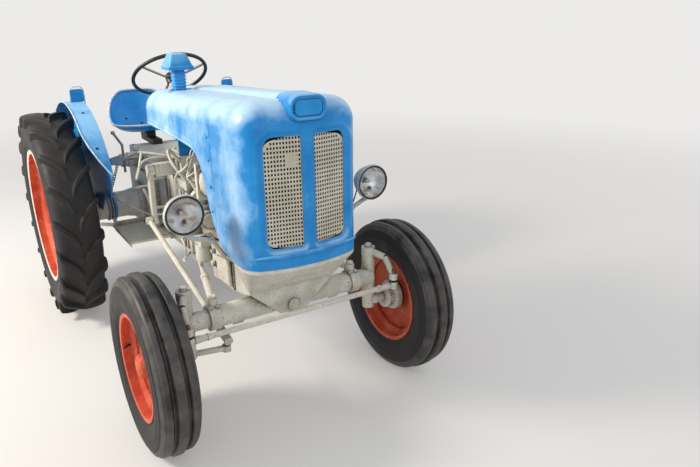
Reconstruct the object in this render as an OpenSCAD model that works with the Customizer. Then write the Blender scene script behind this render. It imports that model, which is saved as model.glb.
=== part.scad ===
// Vintage farm tractor with open engine, two wheel drive. Millimetres.
// The nose points to -Y, +X is the tractor's left side, +Z is up, and the floor is at Z 0.
// Lengths along Y are written from the front axle, and frame_y moves them to the part's origin.

/* [Wheels and axles] */
// Distance between the front and the rear axle
wheelbase = 1620; // [1500:10:1800]
// Distance between the middles of the two front tyres
front_track = 1200; // [1160:10:1300]
// Distance between the middles of the two rear tyres
rear_track = 1260; // [1240:10:1340]
// Outside radius of a front tyre
front_tyre_r = 369; // [355:1:380]
// Width of a front tyre
front_tyre_w = 165; // [150:1:175]
// Radius of the seat of a front tyre on its rim
front_rim_r = 208; // [200:1:215]
// Outside radius of a rear tyre, over its lugs
rear_tyre_r = 582; // [570:1:600]
// Width of a rear tyre, over its lugs
rear_tyre_w = 248; // [230:1:255]
// Radius of the seat of a rear tyre on its rim
rear_rim_r = 366; // [356:1:372]
// Height of the lugs of a rear tyre
lug_h = 30; // [22:1:36]
// Number of lugs on each side of a rear tyre
lug_count = 19; // [16:1:22]
// Depth of the grooves between the ribs of a front tyre
groove_deep = 20; // [12:1:24]
// Distance of each steering pivot from the middle
kingpin_x = 445; // [430:1:455]
// Height of the middle of the front axle tube
axle_z = 498; // [480:1:510]
// Outside radius of the middle tube of the front axle
axle_tube_r = 46; // [42:1:50]
// Outside radius of the rear axle trumpets
trumpet_r = 78; // [66:1:84]

/* [Hood] */
// Half of the width of the hood
hood_half_w = 253; // [240:1:262]
// How far the hood reaches in front of the front axle
hood_nose = 252; // [230:1:270]
// Place of the rear edge of the hood, behind the front axle
hood_rear = 955; // [900:5:980]
// Height of the hood at its nose
hood_top_front = 1375; // [1350:1:1390]
// Height of the hood at its rear edge
hood_top_rear = 1322; // [1310:1:1345]
// Height of the lower edge of the hood under the grille
hood_bottom = 742; // [735:1:760]
// Radius of the rounded edges of the hood
hood_round = 95; // [80:1:105]
// Thickness of the pressed sheet of the hood
hood_wall = 2; // [1.5:0.5:4]

/* [Driver's place] */
// Radius of the rim of the steering wheel
wheel_r = 212; // [190:1:225]
// Angle of the steering column from upright
column_tilt = 36; // [30:1:42]
// Thickness of the sheet of the fenders
fender_wall = 3; // [2:0.5:5]
// Radius of the arch of the fenders
fender_r = 632; // [622:1:650]
// Half of the width of the seat
seat_half_w = 222; // [200:1:235]
// Thickness of the sheet of the seat
seat_wall = 4; // [3:0.5:6]

/* [Lamps] */
// Outside radius of the headlamps
lamp_r = 79; // [70:1:86]
// Distance of each headlamp from the middle
lamp_x = 428; // [415:1:440]
// Height of the middle of the headlamps
lamp_z = 964; // [940:1:980]

/* [Rear linkage] */
// Length of the lower links, from pivot to ball
link_len = 740; // [700:5:780]
// Distance from the pivot of a lower link to its lift rod, and the length of a lift arm
lift_reach = 320; // [290:5:340]
// Angle of the lower links below level when they are down
link_drop = 12; // [8:1:16]
// Radius of the bore of each lower link ball
link_ball_bore = 11.2; // [10:0.1:12.5]
// Radius of the pin of the top link
top_link_r = 9.7; // [9:0.1:10]
// Radius of the power take-off shaft
pto_r = 17.5; // [15:0.5:20]

/* [Hidden] */

$fn = 48;
// Gap that two seated pieces keep
seat_gap = 0.3;
// Radial clearance of a shaft in its bore
run_gap = 0.1;

// Colours of the old paint
blue = [0.10, 0.50, 0.80];
cream = [0.80, 0.79, 0.70];
rim_red = [0.80, 0.32, 0.20];
tyre_black = [0.12, 0.12, 0.12];
bare_metal = [0.55, 0.55, 0.52];
dark_iron = [0.25, 0.23, 0.21];

// Places of the axles
front_hub_z = front_tyre_r;
rear_hub_z = rear_tyre_r;
rear_y = wheelbase;
front_x = front_track / 2;
rear_x = rear_track / 2;

// Rear linkage: pivots of the lift arms and the lower links, both on lines along X
lift_y = rear_y - 10;
lift_z = 850;
link_z = 420;
link_y = lift_y;
link_end_y = link_y + link_len * cos(link_drop);
link_end_z = link_z - link_len * sin(link_drop);
rod_y = link_y + lift_reach * cos(link_drop);
link_ball_r = 24;
link_tip_y = link_end_y + link_ball_r;

// The middle of the part's length goes to the origin
front_end = -front_tyre_r;
rear_end = max(link_tip_y, rear_y + rear_tyre_r);
frame_y = -(front_end + rear_end) / 2;

// Small helpers
module place() { translate([0, frame_y, 0]) children(); }
module both() { children(); mirror([1, 0, 0]) children(); }
// A round rod between two points
module rod(a, b, r) {
    d = b - a;
    n = norm(d);
    translate(a) rotate([0, acos(d[2] / n), atan2(d[1], d[0])]) cylinder(r = r, h = n);
}
// The rounded bend where two rods of radius r meet
module bend(p, r) { translate(p) sphere(r = 1.2 * r); }
// A cylinder along X from x0 to x1
module xcyl(x0, x1, y, z, r) {
    translate([x0, y, z]) rotate([0, 90, 0]) cylinder(r = r, h = x1 - x0);
}
// A cylinder along Y from y0 to y1
module ycyl(y0, y1, x, z, r) {
    translate([x, y1, z]) rotate([90, 0, 0]) cylinder(r = r, h = y1 - y0);
}
// A cylinder along Z from z0 to z1
module zcyl(z0, z1, x, y, r) {
    translate([x, y, z0]) cylinder(r = r, h = z1 - z0);
}
// A box from its low and its high corner
module span(a, b) { translate(a) cube(b - a); }
// A side profile, drawn in Y and Z, with its thickness along X from x0 to x1
module side(x0, x1) {
    translate([x0, 0, 0]) rotate([90, 0, 90]) linear_extrude(x1 - x0) children();
}
// A front profile, drawn in X and Z, with its thickness along Y from y0 to y1
module front(y0, y1) {
    translate([0, y1, 0]) rotate([90, 0, 0]) linear_extrude(y1 - y0) children();
}

// Front support: the casting that carries the engine and the axle pivot
support_top = 738;
support_front = -205;
support_rear = 80;
support_t = 12;
ear_front = -70;
ear_rear = 70;
ear_t = 20;
ear_low = 585;
rail_out = 195;
rail_t = 17;
rail_rear = 340;
rail_bolt_y = 305;
pivot_r = 18;
boss_r = 58;
module front_support() {
    color(cream) {
        // Ears of the pivot, the front one with a window into the scoop
        front(ear_front, ear_front + ear_t) difference() {
            support_outline();
            translate([-140, ear_low + 35]) square([280, support_top - support_t - ear_low - 45]);
        }
        front(ear_rear - ear_t, ear_rear) support_outline();
        // Top plate under the radiator
        span([-rail_out, support_front, support_top - support_t], [rail_out, support_rear, support_top]);
        // Scoop that closes the nose from below
        difference() {
            scoop(0, 0);
            scoop(30, support_t);
        }
        // Side rails back to the engine, with their spacers
        both() {
            side(rail_out - rail_t, rail_out) polygon([[ear_front, support_top],
                [rail_rear, support_top - 38],
                [rail_rear, 530], [44, 554], [ear_front, ear_low]]);
            for (z = [602, 665]) {
                xcyl(block_half + seat_gap, rail_out - rail_t + 1, rail_bolt_y, z, 22);
                xcyl(rail_out - 1, rail_out + 9, rail_bolt_y, z, 13);
            }
        }
        ycyl(ear_front, ear_rear, 0, axle_z, pivot_r);
        ycyl(ear_front - 9, ear_front + 1, 0, axle_z, pivot_r + 8);
        // Ledge that the lower edge of the hood rests on
        translate([0, 0, support_top]) linear_extrude(hood_bottom - support_top - seat_gap) difference() {
            hull() {
                nose_plan(1);
                translate([-hood_half_w + 1, 20]) square([2 * hood_half_w - 2, 1]);
            }
            translate([-205, support_front + 40]) square([410, 300]);
        }
    }
}
module support_outline() {
    polygon([[-rail_out, support_top], [rail_out, support_top], [rail_out, ear_low], [45, axle_z - 46],
        [-45, axle_z - 46], [-rail_out, ear_low]]);
    translate([0, axle_z]) circle(boss_r);
}
// The nose seen from above, as its five round edges
module nose_plan(inset) {
    for (turn = nose_turns) translate(nose_at(turn)) circle(hood_round - inset, $fn = 32);
}
module scoop(inset, drop) {
    hull() {
        translate([0, 0, support_top - support_t - drop]) linear_extrude(support_t) {
            nose_plan(inset + 1);
            translate([-hood_half_w + 1 + inset, ear_front]) square([2 * (hood_half_w - 1 - inset), 10]);
        }
        span([-rail_out + inset / 2, ear_front + inset * 0.8, ear_low + inset / 6],
            [rail_out - inset / 2, ear_front + inset * 0.8 + 10, ear_low + 15]);
    }
}

// Front axle: middle tube, rocking on the pivot
axle_half = 360;
collar_in = 316;
collar_out = 360;
ext_r = axle_tube_r - 7;
boss_half = ear_rear - ear_t - 1;
module axle_beam() {
    color(cream) difference() {
        union() {
            xcyl(-axle_half, axle_half, 0, axle_z, axle_tube_r);
            ycyl(-boss_half, boss_half, 0, axle_z, boss_r - 2);
            both() {
                // Clamp collar with its bolt lug on top
                xcyl(collar_in, collar_out, 0, axle_z, axle_tube_r + 8);
                span([collar_in, -22, axle_z + 20], [collar_out, 22, collar_top]);
                // Lug that the radius rod bolts to
                span([axle_half - 150, -16, axle_z - 52], [axle_half - 104, 16, axle_z - 20]);
            }
        }
        xcyl(-axle_half - 1, -axle_half + 200, 0, axle_z, ext_r + seat_gap);
        xcyl(axle_half - 200, axle_half + 1, 0, axle_z, ext_r + seat_gap);
        ycyl(-boss_half - 1, boss_half + 1, 0, axle_z, pivot_r + seat_gap);
    }
}

// Front axle ends: sliding tubes that carry the kingpin housings
housing_r = 30;
housing_low = 428;
housing_top = 600;
kingpin_r = 17;
kingpin_y = 12;
module axle_ends() {
    color(cream) both() difference() {
        union() {
            xcyl(axle_half - 160, kingpin_x, 0, axle_z, ext_r);
            zcyl(housing_low, housing_top, kingpin_x, kingpin_y, housing_r);
        }
        zcyl(housing_low - 1, housing_top + 1, kingpin_x, kingpin_y, kingpin_r + run_gap);
    }
}

// Radius rods: they brace the axle back to the gearbox
collar_top = axle_z + 55;
rod_front_x = 334;
rod_front_z = collar_top + 14;
rod_mid = [270, 250, rod_front_z - 2];
rod_back = [100, 825, 452];
module radius_rods() {
    color(cream) both() {
        // Eye bolted down on the clamp collar
        difference() {
            union() {
                zcyl(collar_top, rod_front_z + 16, rod_front_x, 0, 20);
                rod([rod_front_x, 0, rod_front_z], rod_mid, 16);
            }
            span([0, -100, 0], [kingpin_x, 300, collar_top + seat_gap]);
        }
        zcyl(rod_front_z + 16, rod_front_z + 28, rod_front_x, 0, 14);
        rod(rod_mid, rod_back, 11);
        // Sleeve of the adjusting thread
        rod(rod_mid + [3, -14, 0], rod_mid + [-14, 44, -9], 19);
        span([rod_back[0] - 18, rod_back[1] - 20, rod_back[2] - 14],
            [rod_back[0] + 18, rod_back[1] + 30, case_low]);
    }
}

// Engine: cylinder block with crankcase and sump
engine_front = 150;
engine_rear = 700;
block_half = 118;
deck_z = 985;
crank_z = 690;
sump_top = 560;
sump_low = 430;
sump_half = 88;
bell_r = 200;
cover_t = 18;
fan_z = 930;
fan_r = 150;
fan_y = 30;
bore_step = 165;
function bore_y(i) = (engine_front + engine_rear) / 2 + (i - 1) * bore_step;
module engine_block() {
    color(cream) {
        span([-block_half, engine_front, sump_top], [block_half, engine_rear, deck_z]);
        // Cover over the timing gears' side, and core plugs of the water jacket
        span([-block_half - 10, 176, 700], [1 - block_half, 352, 836]);
        for (y = [190, 338], z = [714, 822]) xcyl(-block_half - 17, -block_half - 9, y, z, 8);
        for (q = [[250, 905], [642, 905], [642, 740]])
            xcyl(-block_half - 5, 1 - block_half, q[0], q[1], 24);
        // Sump with its flange
        side(-sump_half, sump_half) polygon([[engine_front + 10, sump_top], [engine_rear, sump_top],
            [engine_rear, sump_low], [engine_front + 90, sump_low], [engine_front + 10, sump_low + 62]]);
        span([-block_half - 8, engine_front - 2, sump_top - 14],
            [block_half + 8, engine_rear, sump_top + 10]);
        // Flange at the bell housing
        ycyl(engine_rear - 16, engine_rear, 0, crank_z, bell_r);
        // Timing cover
        front(engine_front - cover_t, engine_front) polygon([[-100, sump_top + 4], [100, sump_top + 4],
            [112, crank_z], [86, 880], [48, deck_z - 8], [-48, deck_z - 8], [-86, 880], [-112, crank_z]]);
        for (a = [0:45:315]) translate([92 * cos(a), 0, crank_z + 92 * sin(a)])
            ycyl(engine_front - cover_t - 7, engine_front - cover_t, 0, 0, 8);
        // Pulley on the crankshaft
        translate([0, engine_front - cover_t, crank_z]) rotate([90, 0, 0]) rotate_extrude()
            polygon([[0, 0], [30, 0], [30, 8], [72, 10], [60, 20], [72, 30], [30, 34], [0, 38]]);
        // Water pump and fan
        ycyl(engine_front - cover_t - 36, engine_front - cover_t, 0, fan_z, 42);
        ycyl(fan_y, engine_front - cover_t - 30, 0, fan_z, 14);
        ycyl(fan_y + 22, fan_y + 52, 0, fan_z, 46);
        ycyl(fan_y - 2, fan_y + 8, 0, fan_z, 40);
        for (a = [45:90:315]) translate([0, fan_y, fan_z]) rotate([0, a, 0]) translate([30, 3, -2])
            rotate([26, 0, 0]) translate([0, -2, -26]) cube([fan_r - 30, 4, 52]);
        // Tappet cover on the left
        span([block_half - 1, rail_rear + 10, 610], [block_half + 12, engine_rear - 60, 740]);
    }
}

// Cylinder head with its cover
head_half = 100;
head_top = 1075;
cover_half = 70;
cover_high = 70;
module cylinder_head() {
    color(cream) {
        span([-head_half, engine_front + 30, deck_z], [head_half, engine_rear - 20, head_top]);
        front(engine_front + 50, engine_rear - 40) polygon([[-cover_half - 8, head_top],
            [cover_half + 8, head_top], [cover_half + 8, head_top + 8], [cover_half, head_top + 8],
            [cover_half - 6, head_top + 46],
            [cover_half - 30, head_top + cover_high], [30 - cover_half, head_top + cover_high],
            [6 - cover_half, head_top + 46], [-cover_half, head_top + 8], [-cover_half - 8, head_top + 8]]);
        for (i = [0:2]) {
            zcyl(head_top + cover_high, head_top + cover_high + 14, 0, bore_y(i), 14);
            // Injector with its clamp
            zcyl(head_top, head_top + 46, -head_half + 10, bore_y(i), 9);
            zcyl(head_top, head_top + 16, -head_half + 10, bore_y(i), 15);
            // Port bosses on the right side
            xcyl(-head_half - 12, -head_half, bore_y(i) + 34, deck_z + 42, 26);
        }
    }
}

// Injection pump on the right side of the block, with its governor dome and pipes
dome_y = 443;
dome_z = 955;
dome_r = 74;
pump_x = -block_half - 52;
pump_z = 778;
pump_r = 46;
pump_y = 500;
module injection_pump() {
    color(cream) {
        // Dome with the strap that holds it
        translate([-block_half - seat_gap, dome_y, dome_z]) rotate([0, -90, 0]) rotate_extrude()
            polygon([[0, 0], [dome_r - 12, 0], [dome_r, 8], [dome_r, 40], [dome_r - 10, 58],
                [dome_r - 34, 74],
                [0, 82]]);
        span([-block_half - 87, dome_y - 13, dome_z - dome_r - 12],
            [-block_half - 10, dome_y + 13, dome_z + dome_r + 10]);
        // Pump body, a drum along the engine on its bracket
        ycyl(pump_y - 100, pump_y + 100, pump_x, pump_z, pump_r);
        ycyl(pump_y - 112, pump_y - 100, pump_x, pump_z, pump_r - 12);
        span([pump_x, pump_y - 92, pump_z - 50], [-block_half - seat_gap, pump_y + 92, pump_z + 40]);
        span([pump_x - 28, pump_y - 70, pump_z], [pump_x + 28, pump_y + 70, pump_z + pump_r + 22]);
        for (i = [0:2]) {
            // Delivery valve and the pipe up to its injector
            zcyl(pump_z + pump_r + 20, pump_z + pump_r + 44, pump_x, pump_y + (i - 1) * 42, 8);
            bend([pump_x, pump_y + (i - 1) * 42, pump_z + pump_r + 44], 5);
            rod([pump_x, pump_y + (i - 1) * 42, pump_z + pump_r + 44],
                [-block_half - 96 + 8 * i, pump_y + 60 + (i - 1) * 22, deck_z - 25], 4);
            bend([-block_half - 96 + 8 * i, pump_y + 60 + (i - 1) * 22, deck_z - 25], 4);
            rod([-block_half - 96 + 8 * i, pump_y + 60 + (i - 1) * 22, deck_z - 25],
                [-block_half - 14, bore_y(i) + 8, head_top + 30], 4);
            bend([-block_half - 14, bore_y(i) + 8, head_top + 30], 4);
            rod([-block_half - 14, bore_y(i) + 8, head_top + 30],
                [-head_half, bore_y(i), head_top + 34], 4);
        }
        // Control lever
        xcyl(pump_x - pump_r - 14, pump_x - pump_r + 4, pump_y + 70, pump_z, 12);
        rod([pump_x - pump_r - 10, pump_y + 70, pump_z],
            [pump_x - pump_r - 14, pump_y + 95, pump_z + 62], 6);
    }
}

// Fuel filters below the pump, on the right side of the block
filter_y = 515;
filter_low = 545;
filter_r = 42;
module fuel_filters() {
    color(cream) {
        span([pump_x - 34, filter_y - 56, filter_low + 88],
            [-block_half - seat_gap, filter_y + 56, filter_low + 116]);
        zcyl(filter_low + 8, filter_low + 90, pump_x, filter_y, filter_r);
        zcyl(filter_low, filter_low + 9, pump_x, filter_y, filter_r - 10);
        zcyl(filter_low + 116, filter_low + 130, pump_x, filter_y, 14);
        // Oil pipe from the filter back to the crankcase
        rod([pump_x, filter_y + 50, filter_low + 102], [pump_x, 660, filter_low + 60], 7);
        bend([pump_x, 660, filter_low + 60], 7);
        rod([pump_x, 660, filter_low + 60], [-block_half - 2, 668, filter_low + 50], 7);
    }
}

// Dynamo on the left side of the block
dynamo_r = 52;
dynamo_z = 860;
module dynamo() {
    color(dark_iron) {
        ycyl(250, 430, block_half + dynamo_r + 20, dynamo_z, dynamo_r);
        span([block_half, 300, dynamo_z - 20], [block_half + 30, 380, dynamo_z + 20]);
    }
}

// Radiator on the front support, behind the grille
radiator_front = -150;
radiator_rear = -60;
radiator_half = 200;
core_top = 1230;
tank_high = 60;
module radiator() {
    color(dark_iron) {
        span([-radiator_half, radiator_front, support_top], [radiator_half, radiator_rear, core_top]);
        span([10 - radiator_half, radiator_front - 10, core_top],
            [radiator_half - 10, radiator_rear + 10, core_top + tank_high]);
        zcyl(core_top + tank_high, core_top + tank_high + 14, 0, (radiator_front + radiator_rear) / 2, 32);
        // Hose stubs to the engine
        ycyl(radiator_rear, radiator_rear + 60, 60, core_top + tank_high / 2, 20);
        ycyl(radiator_rear, radiator_rear + 50, -90, support_top + 60, 20);
    }
}

// Gearbox: bell housing and gear case, one row of castings
gearbox_rear = 1330;
bell_len = 130;
joint_y = 1150;
module gearbox() {
    color(cream) {
        translate([0, engine_rear, crank_z]) rotate([-90, 0, 0]) rotate_extrude()
            polygon([[0, 0], [bell_r, 0], [bell_r, 16], [bell_r - 16, 18], [bell_r - 44, bell_len],
                [0, bell_len]]);
        span([-gear_half, engine_rear + bell_len - 10, case_low], [gear_half, gearbox_rear, case_top]);
        // Flange where the two castings are bolted together
        span([-gear_half - 12, joint_y, case_low - 8], [gear_half + 12, joint_y + 24, case_top]);
        both() {
            // Round side cover with its ring
            xcyl(gear_half - 1, gear_half + 8, 1000, 650, 82);
            xcyl(gear_half - 1, gear_half + 16, 1000, 650, 50);
            // Ribs
            for (y = [860, 900, 1100])
                span([gear_half - 1, y, case_low + 20], [gear_half + 9, y + 10, case_top - 40]);
        }
    }
}
gear_half = 130;
case_low = 470;
case_top = 860;

// Rear axle: centre case with the two trumpets
case_half = 165;
trumpet_end = 455;
shaft_r = 30;
rear_case_end = rear_y + 190;
module rear_axle() {
    color(cream) difference() {
        union() {
            span([-case_half, gearbox_rear, 430], [case_half, rear_case_end, 790]);
            both() {
                // Trumpet, wide at the case and flanged at the wheel
                translate([0, rear_y, rear_hub_z]) rotate([0, 90, 0]) rotate_extrude()
                    polygon([[0, case_half - 5], [122, case_half - 5], [122, case_half + 18],
                        [trumpet_r + 14, case_half + 34], [trumpet_r, case_half + 100],
                        [trumpet_r, trumpet_end - 22], [trumpet_r + 17, trumpet_end - 18],
                        [trumpet_r + 17, trumpet_end], [0, trumpet_end]]);
                // Pivot bracket of the lower link
                span([case_half - 5, link_y - 26, link_z - 26], [case_half + 12, link_y + 26, link_z + 60]);
                xcyl(case_half, link_in_x + link_t + 14, link_y, link_z, 11);
            }
            // Flange between the gear case and the axle case
            span([-case_half - 8, gearbox_rear, 424], [case_half + 8, gearbox_rear + 22, 788]);
            // Power take-off shaft at the rear
            ycyl(rear_case_end - 5, rear_case_end + 92, 0, pto_z, pto_r);
            ycyl(rear_case_end - 5, rear_case_end + 12, 0, pto_z, 52);
            // Ears of the top link with their pin
            both() span([24, rear_case_end - 5, top_link_z - 26],
                [38, rear_case_end + 62, top_link_z + 26]);
            xcyl(-50, 50, rear_case_end + 38, top_link_z, top_link_r);
        }
        both() xcyl(trumpet_end - 90, trumpet_end + 1, rear_y, rear_hub_z, shaft_r + run_gap);
    }
}
pto_z = 560;
top_link_z = 735;

// Lift cover on the rear axle case, with the cross shaft of the lift arms
cover_top = 905;
module lift_cover() {
    color(cream) difference() {
        union() {
            span([-case_half + 10, rear_y - 230, 790], [case_half - 10, rear_case_end - 20, cover_top]);
            xcyl(-lift_in_x + 2, lift_in_x - 2, lift_y, lift_z, 44);
        }
        xcyl(-lift_in_x, -lift_in_x + 80, lift_y, lift_z, lift_shaft_r + run_gap);
        xcyl(lift_in_x - 80, lift_in_x, lift_y, lift_z, lift_shaft_r + run_gap);
    }
}
lift_shaft_r = 24;
lift_in_x = 222;
lift_arm_t = 26;

// Hood: one pressed shell with a rounded nose
nose_arc_r = 600;
centre_arc_r = nose_arc_r - hood_round;
corner_turn = asin((hood_half_w - hood_round) / centre_arc_r);
rear_wall_x = hood_half_w - hood_round;
// Middles of the round edges across the nose, as angles on the nose arc
nose_turns = [-1, -0.5, 0, 0.5, 1] * corner_turn;
function nose_at(turn) = [centre_arc_r * sin(turn), nose_arc_r - hood_nose - centre_arc_r * cos(turn)];
module hood_form(inset) {
    r = hood_round - inset;
    hull() {
        for (turn = nose_turns) translate(nose_at(turn)) {
            translate([0, 0, hood_bottom - 10]) cylinder(r = r, h = 20, $fn = 32);
            translate([0, 0, hood_top_front - hood_round]) sphere(r = r, $fn = 32);
        }
        for (s = [-1, 1]) translate([s * rear_wall_x, hood_rear + inset, 0]) {
            translate([0, -1, hood_top_rear - hood_round]) rotate([-90, 0, 0])
                cylinder(r = r, h = 1, $fn = 32);
            translate([s * (r - 1) - 0.5, -1, hood_bottom - 10]) cube([1, 1, 20]);
        }
    }
}
// What is cut away below and behind the side edge of the hood, in Y and Z
side_edge = [[-110, hood_bottom], [-40, hood_bottom + 6], [36, 768], [99, 823], [148, 906], [185, 992],
    [214, 1063], [250, 1107], [292, 1130], [344, 1141]];
module side_cut() {
    polygon(concat([[-110, 0]], side_edge, [[hood_rear + 60, 1162], [hood_rear + 60, 0]]));
}
// Grille opening on the tractor's left, in X and Z. Columns: middle across, middle height, radius
grille_in = 28;
grille_out = 176;
grille_low = 822;
grille_top = 1252;
opening_deep = 14;
function opening_corners() = [[grille_out - 34, grille_low + 46, 34, -90],
    [grille_out - 44, grille_top - 62, 44, 0], [grille_in + 14, grille_top - 14, 14, 90],
    [grille_in + 14, grille_low + 14, 14, 180]];
function opening_points(grow) = [for (c = opening_corners()) for (i = [0:6])
    [c[0] + (c[2] + grow) * cos(c[3] + i * 15), c[1] + (c[2] + grow) * sin(c[3] + i * 15)]];
module grille_opening(grow) { polygon(opening_points(grow)); }
pod_z = 1352;
pod_half_w = 77;
pod_half_h = 48;
pod_round = 40;
ridge_half = 68;
ridge_high = 22;
ridge_low = 8;
module hood() {
    color(blue) {
        difference() {
            hood_form(0);
            difference() {
                hood_form(hood_wall);
                span([-400, -400, 0], [400, hood_rear + 10, hood_bottom]);
            }
            span([-400, -400, 0], [400, hood_rear + 10, hood_bottom]);
            side(-400, 400) side_cut();
            both() front(-400, -140) grille_opening(0);
        }
        // Edges of the openings, turned in
        both() intersection() {
            front(-400, -140) difference() {
                grille_opening(2);
                grille_opening(0);
            }
            difference() {
                hood_form(hood_wall / 2);
                hood_form(opening_deep);
            }
        }
        // Ridge along the top, from the pod to the rear edge
        difference() {
            hull() {
                ridge(-160, hood_top_front - 2, ridge_high);
                ridge(hood_rear - 2, hood_top_rear - 1, ridge_low);
            }
            hood_form(hood_wall / 2);
        }
        // Pod at the top of the nose, with a raised rim
        difference() {
            union() {
                front(-hood_nose - 5, -150) pod_outline(0);
                front(-hood_nose - 10, -hood_nose - 4) difference() {
                    pod_outline(-2);
                    pod_outline(-12);
                }
            }
            hood_form(hood_wall / 2);
        }
    }
}
module ridge(y, z, high) {
    front(y, y + 2) polygon([[-ridge_half, z - 20], [-ridge_half, z], [-ridge_half + 22, z + high],
        [ridge_half - 22, z + high], [ridge_half, z], [ridge_half, z - 20]]);
}
module pod_outline(grow) {
    r = pod_round + grow;
    hull() for (x = [-1, 1], z = [-1, 1])
        translate([x * (pod_half_w - pod_round), pod_z + z * (pod_half_h - pod_round)]) circle(r, $fn = 32);
}

// Grille: two perforated panels behind the openings
panel_r = nose_arc_r - opening_deep - 7;
panel_t = 1.5;
panel_turn = asin((grille_in + grille_out) / 2 / nose_arc_r);
hole_w = 7;
hole_h = 9;
hole_columns = 12;
hole_rows = 26;
function on_panel(x) = panel_r * tan(asin(x / nose_arc_r) - panel_turn);
function hole_x(i) = grille_in + (i + 0.5) * (grille_out - grille_in) / hole_columns;
function hole_z(j) = grille_low + (j + 0.5) * (grille_top - grille_low) / hole_rows;
// Whether a hole lies inside the two large round corners of the opening
function hole_fits(x, z) = let (low = opening_corners()[0], top = opening_corners()[1])
    !(x > low[0] && z < low[1] && norm([x - low[0], z - low[1]]) > low[2] - 4)
    && !(x > top[0] && z > top[1] && norm([x - top[0], z - top[1]]) > top[2] - 4);
module grille() {
    color(cream) both() translate([0, nose_arc_r - hood_nose, 0]) rotate([0, 0, panel_turn])
        front(-panel_r, -panel_r + panel_t) difference() {
            polygon([for (p = opening_points(7)) [on_panel(p[0]), p[1]]]);
            for (i = [0:hole_columns - 1], j = [0:hole_rows - 1]) if (hole_fits(hole_x(i), hole_z(j)))
                translate([on_panel(hole_x(i)) - hole_w / 2, hole_z(j) - hole_h / 2])
                    square([hole_w, hole_h]);
        }
}

// Pointed trim bar low across the nose
trim_z = 793;
trim_half = 238;
trim_high = 22;
module front_trim() {
    color(blue) translate([0, nose_arc_r - hood_nose, 0]) difference() {
        intersection() {
            translate([0, 0, trim_z - trim_high / 2])
                cylinder(r = nose_arc_r + 12, h = trim_high, $fn = 240);
            front(-nose_arc_r - 20, -400) polygon([[-trim_half, trim_z],
                [-trim_half + 70, trim_z + trim_high / 2], [trim_half - 70, trim_z + trim_high / 2],
                [trim_half, trim_z],
                [trim_half - 70, trim_z - trim_high / 2], [-trim_half + 70, trim_z - trim_high / 2]]);
        }
        translate([0, 0, trim_z - 40]) cylinder(r = nose_arc_r + seat_gap, h = 80, $fn = 240);
    }
}

// Air intake on the hood
intake_x = -130;
intake_y = 780;
intake_foot = 1300;
module air_intake() {
    color(blue) translate([intake_x, intake_y, 0]) {
        difference() {
            span([-28, -28, intake_foot], [28, 28, 1425]);
            translate([-intake_x, -intake_y, 0]) hood_form(-seat_gap);
        }
        hull() {
            translate([-62, -62, 1425]) cube([124, 124, 30]);
            translate([-30, -30, 1500]) cube([60, 60, 4]);
        }
    }
}

// Instrument panel: closes the rear end of the hood
module instrument_panel() {
    color(blue) intersection() {
        hood_form(hood_wall + seat_gap);
        span([-400, hood_rear - 12, 1160], [400, hood_rear - 4, 1400]);
    }
    color(blue) span([-box_half, hood_rear - 12, box_top + seat_gap], [box_half, hood_rear - 4, 1200]);
}

// Headlamps: deep shells with their bezels
lamp_y = -50;
shell_depth = 110;
module lamp_body() {
    rotate([-90, 0, 0]) rotate_extrude(convexity = 4)
        polygon([[0, shell_depth], [22, shell_depth - 2], [48, shell_depth - 22], [66, shell_depth - 54],
            [lamp_r - 6, 14], [lamp_r, 12], [lamp_r, 0], [lamp_r - 9, 0], [lamp_r - 9, 10],
            [60, shell_depth - 58], [0, shell_depth - 20]]);
}
module headlamps() {
    color(bare_metal) both() translate([-lamp_x, lamp_y, lamp_z]) lamp_body();
}
module headlamp_glasses() {
    color([0.8, 0.85, 0.9]) both() translate([-lamp_x, lamp_y, lamp_z]) rotate([-90, 0, 0])
        rotate_extrude() polygon([[0, -6], [40, -4], [lamp_r - 9 - seat_gap, 1], [lamp_r - 9 - seat_gap, 5],
            [40, 0], [0, -2]]);
}
// Brackets that carry the headlamps, bolted with a gusset on the side rails
bar_r = 10;
lamp_foot_z = lamp_z - lamp_r - 8;
module headlamp_brackets() {
    color(cream) both() {
        difference() {
            rod([-lamp_x, lamp_y + 62, lamp_foot_z], [-lamp_x, lamp_y + 62, lamp_z - 40], 9);
            translate([-lamp_x, lamp_y, lamp_z]) rotate([-90, 0, 0]) rotate_extrude()
                polygon([[0, shell_depth], [22, shell_depth], [48.3, shell_depth - 22],
                    [66.3, shell_depth - 54],
                    [lamp_r - 5.7, 14], [0, 14]]);
        }
        for (i = [0:len(bar_path()) - 2]) {
            rod(bar_path()[i], bar_path()[i + 1], bar_r);
            bend(bar_path()[i], bar_r);
        }
        side(-rail_out - seat_gap - 8, -rail_out - seat_gap)
            polygon([[84, 679], [270, 656], [270, 556], [88, 551]]);
    }
}
function bar_path() = [[-lamp_x, lamp_y + 62, lamp_foot_z], [-375, 40, lamp_foot_z - 42], [-277, 100, 793],
    [-rail_out - bar_r - 9, 100, 690], [-rail_out - bar_r - 5, 100, 570]];

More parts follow.
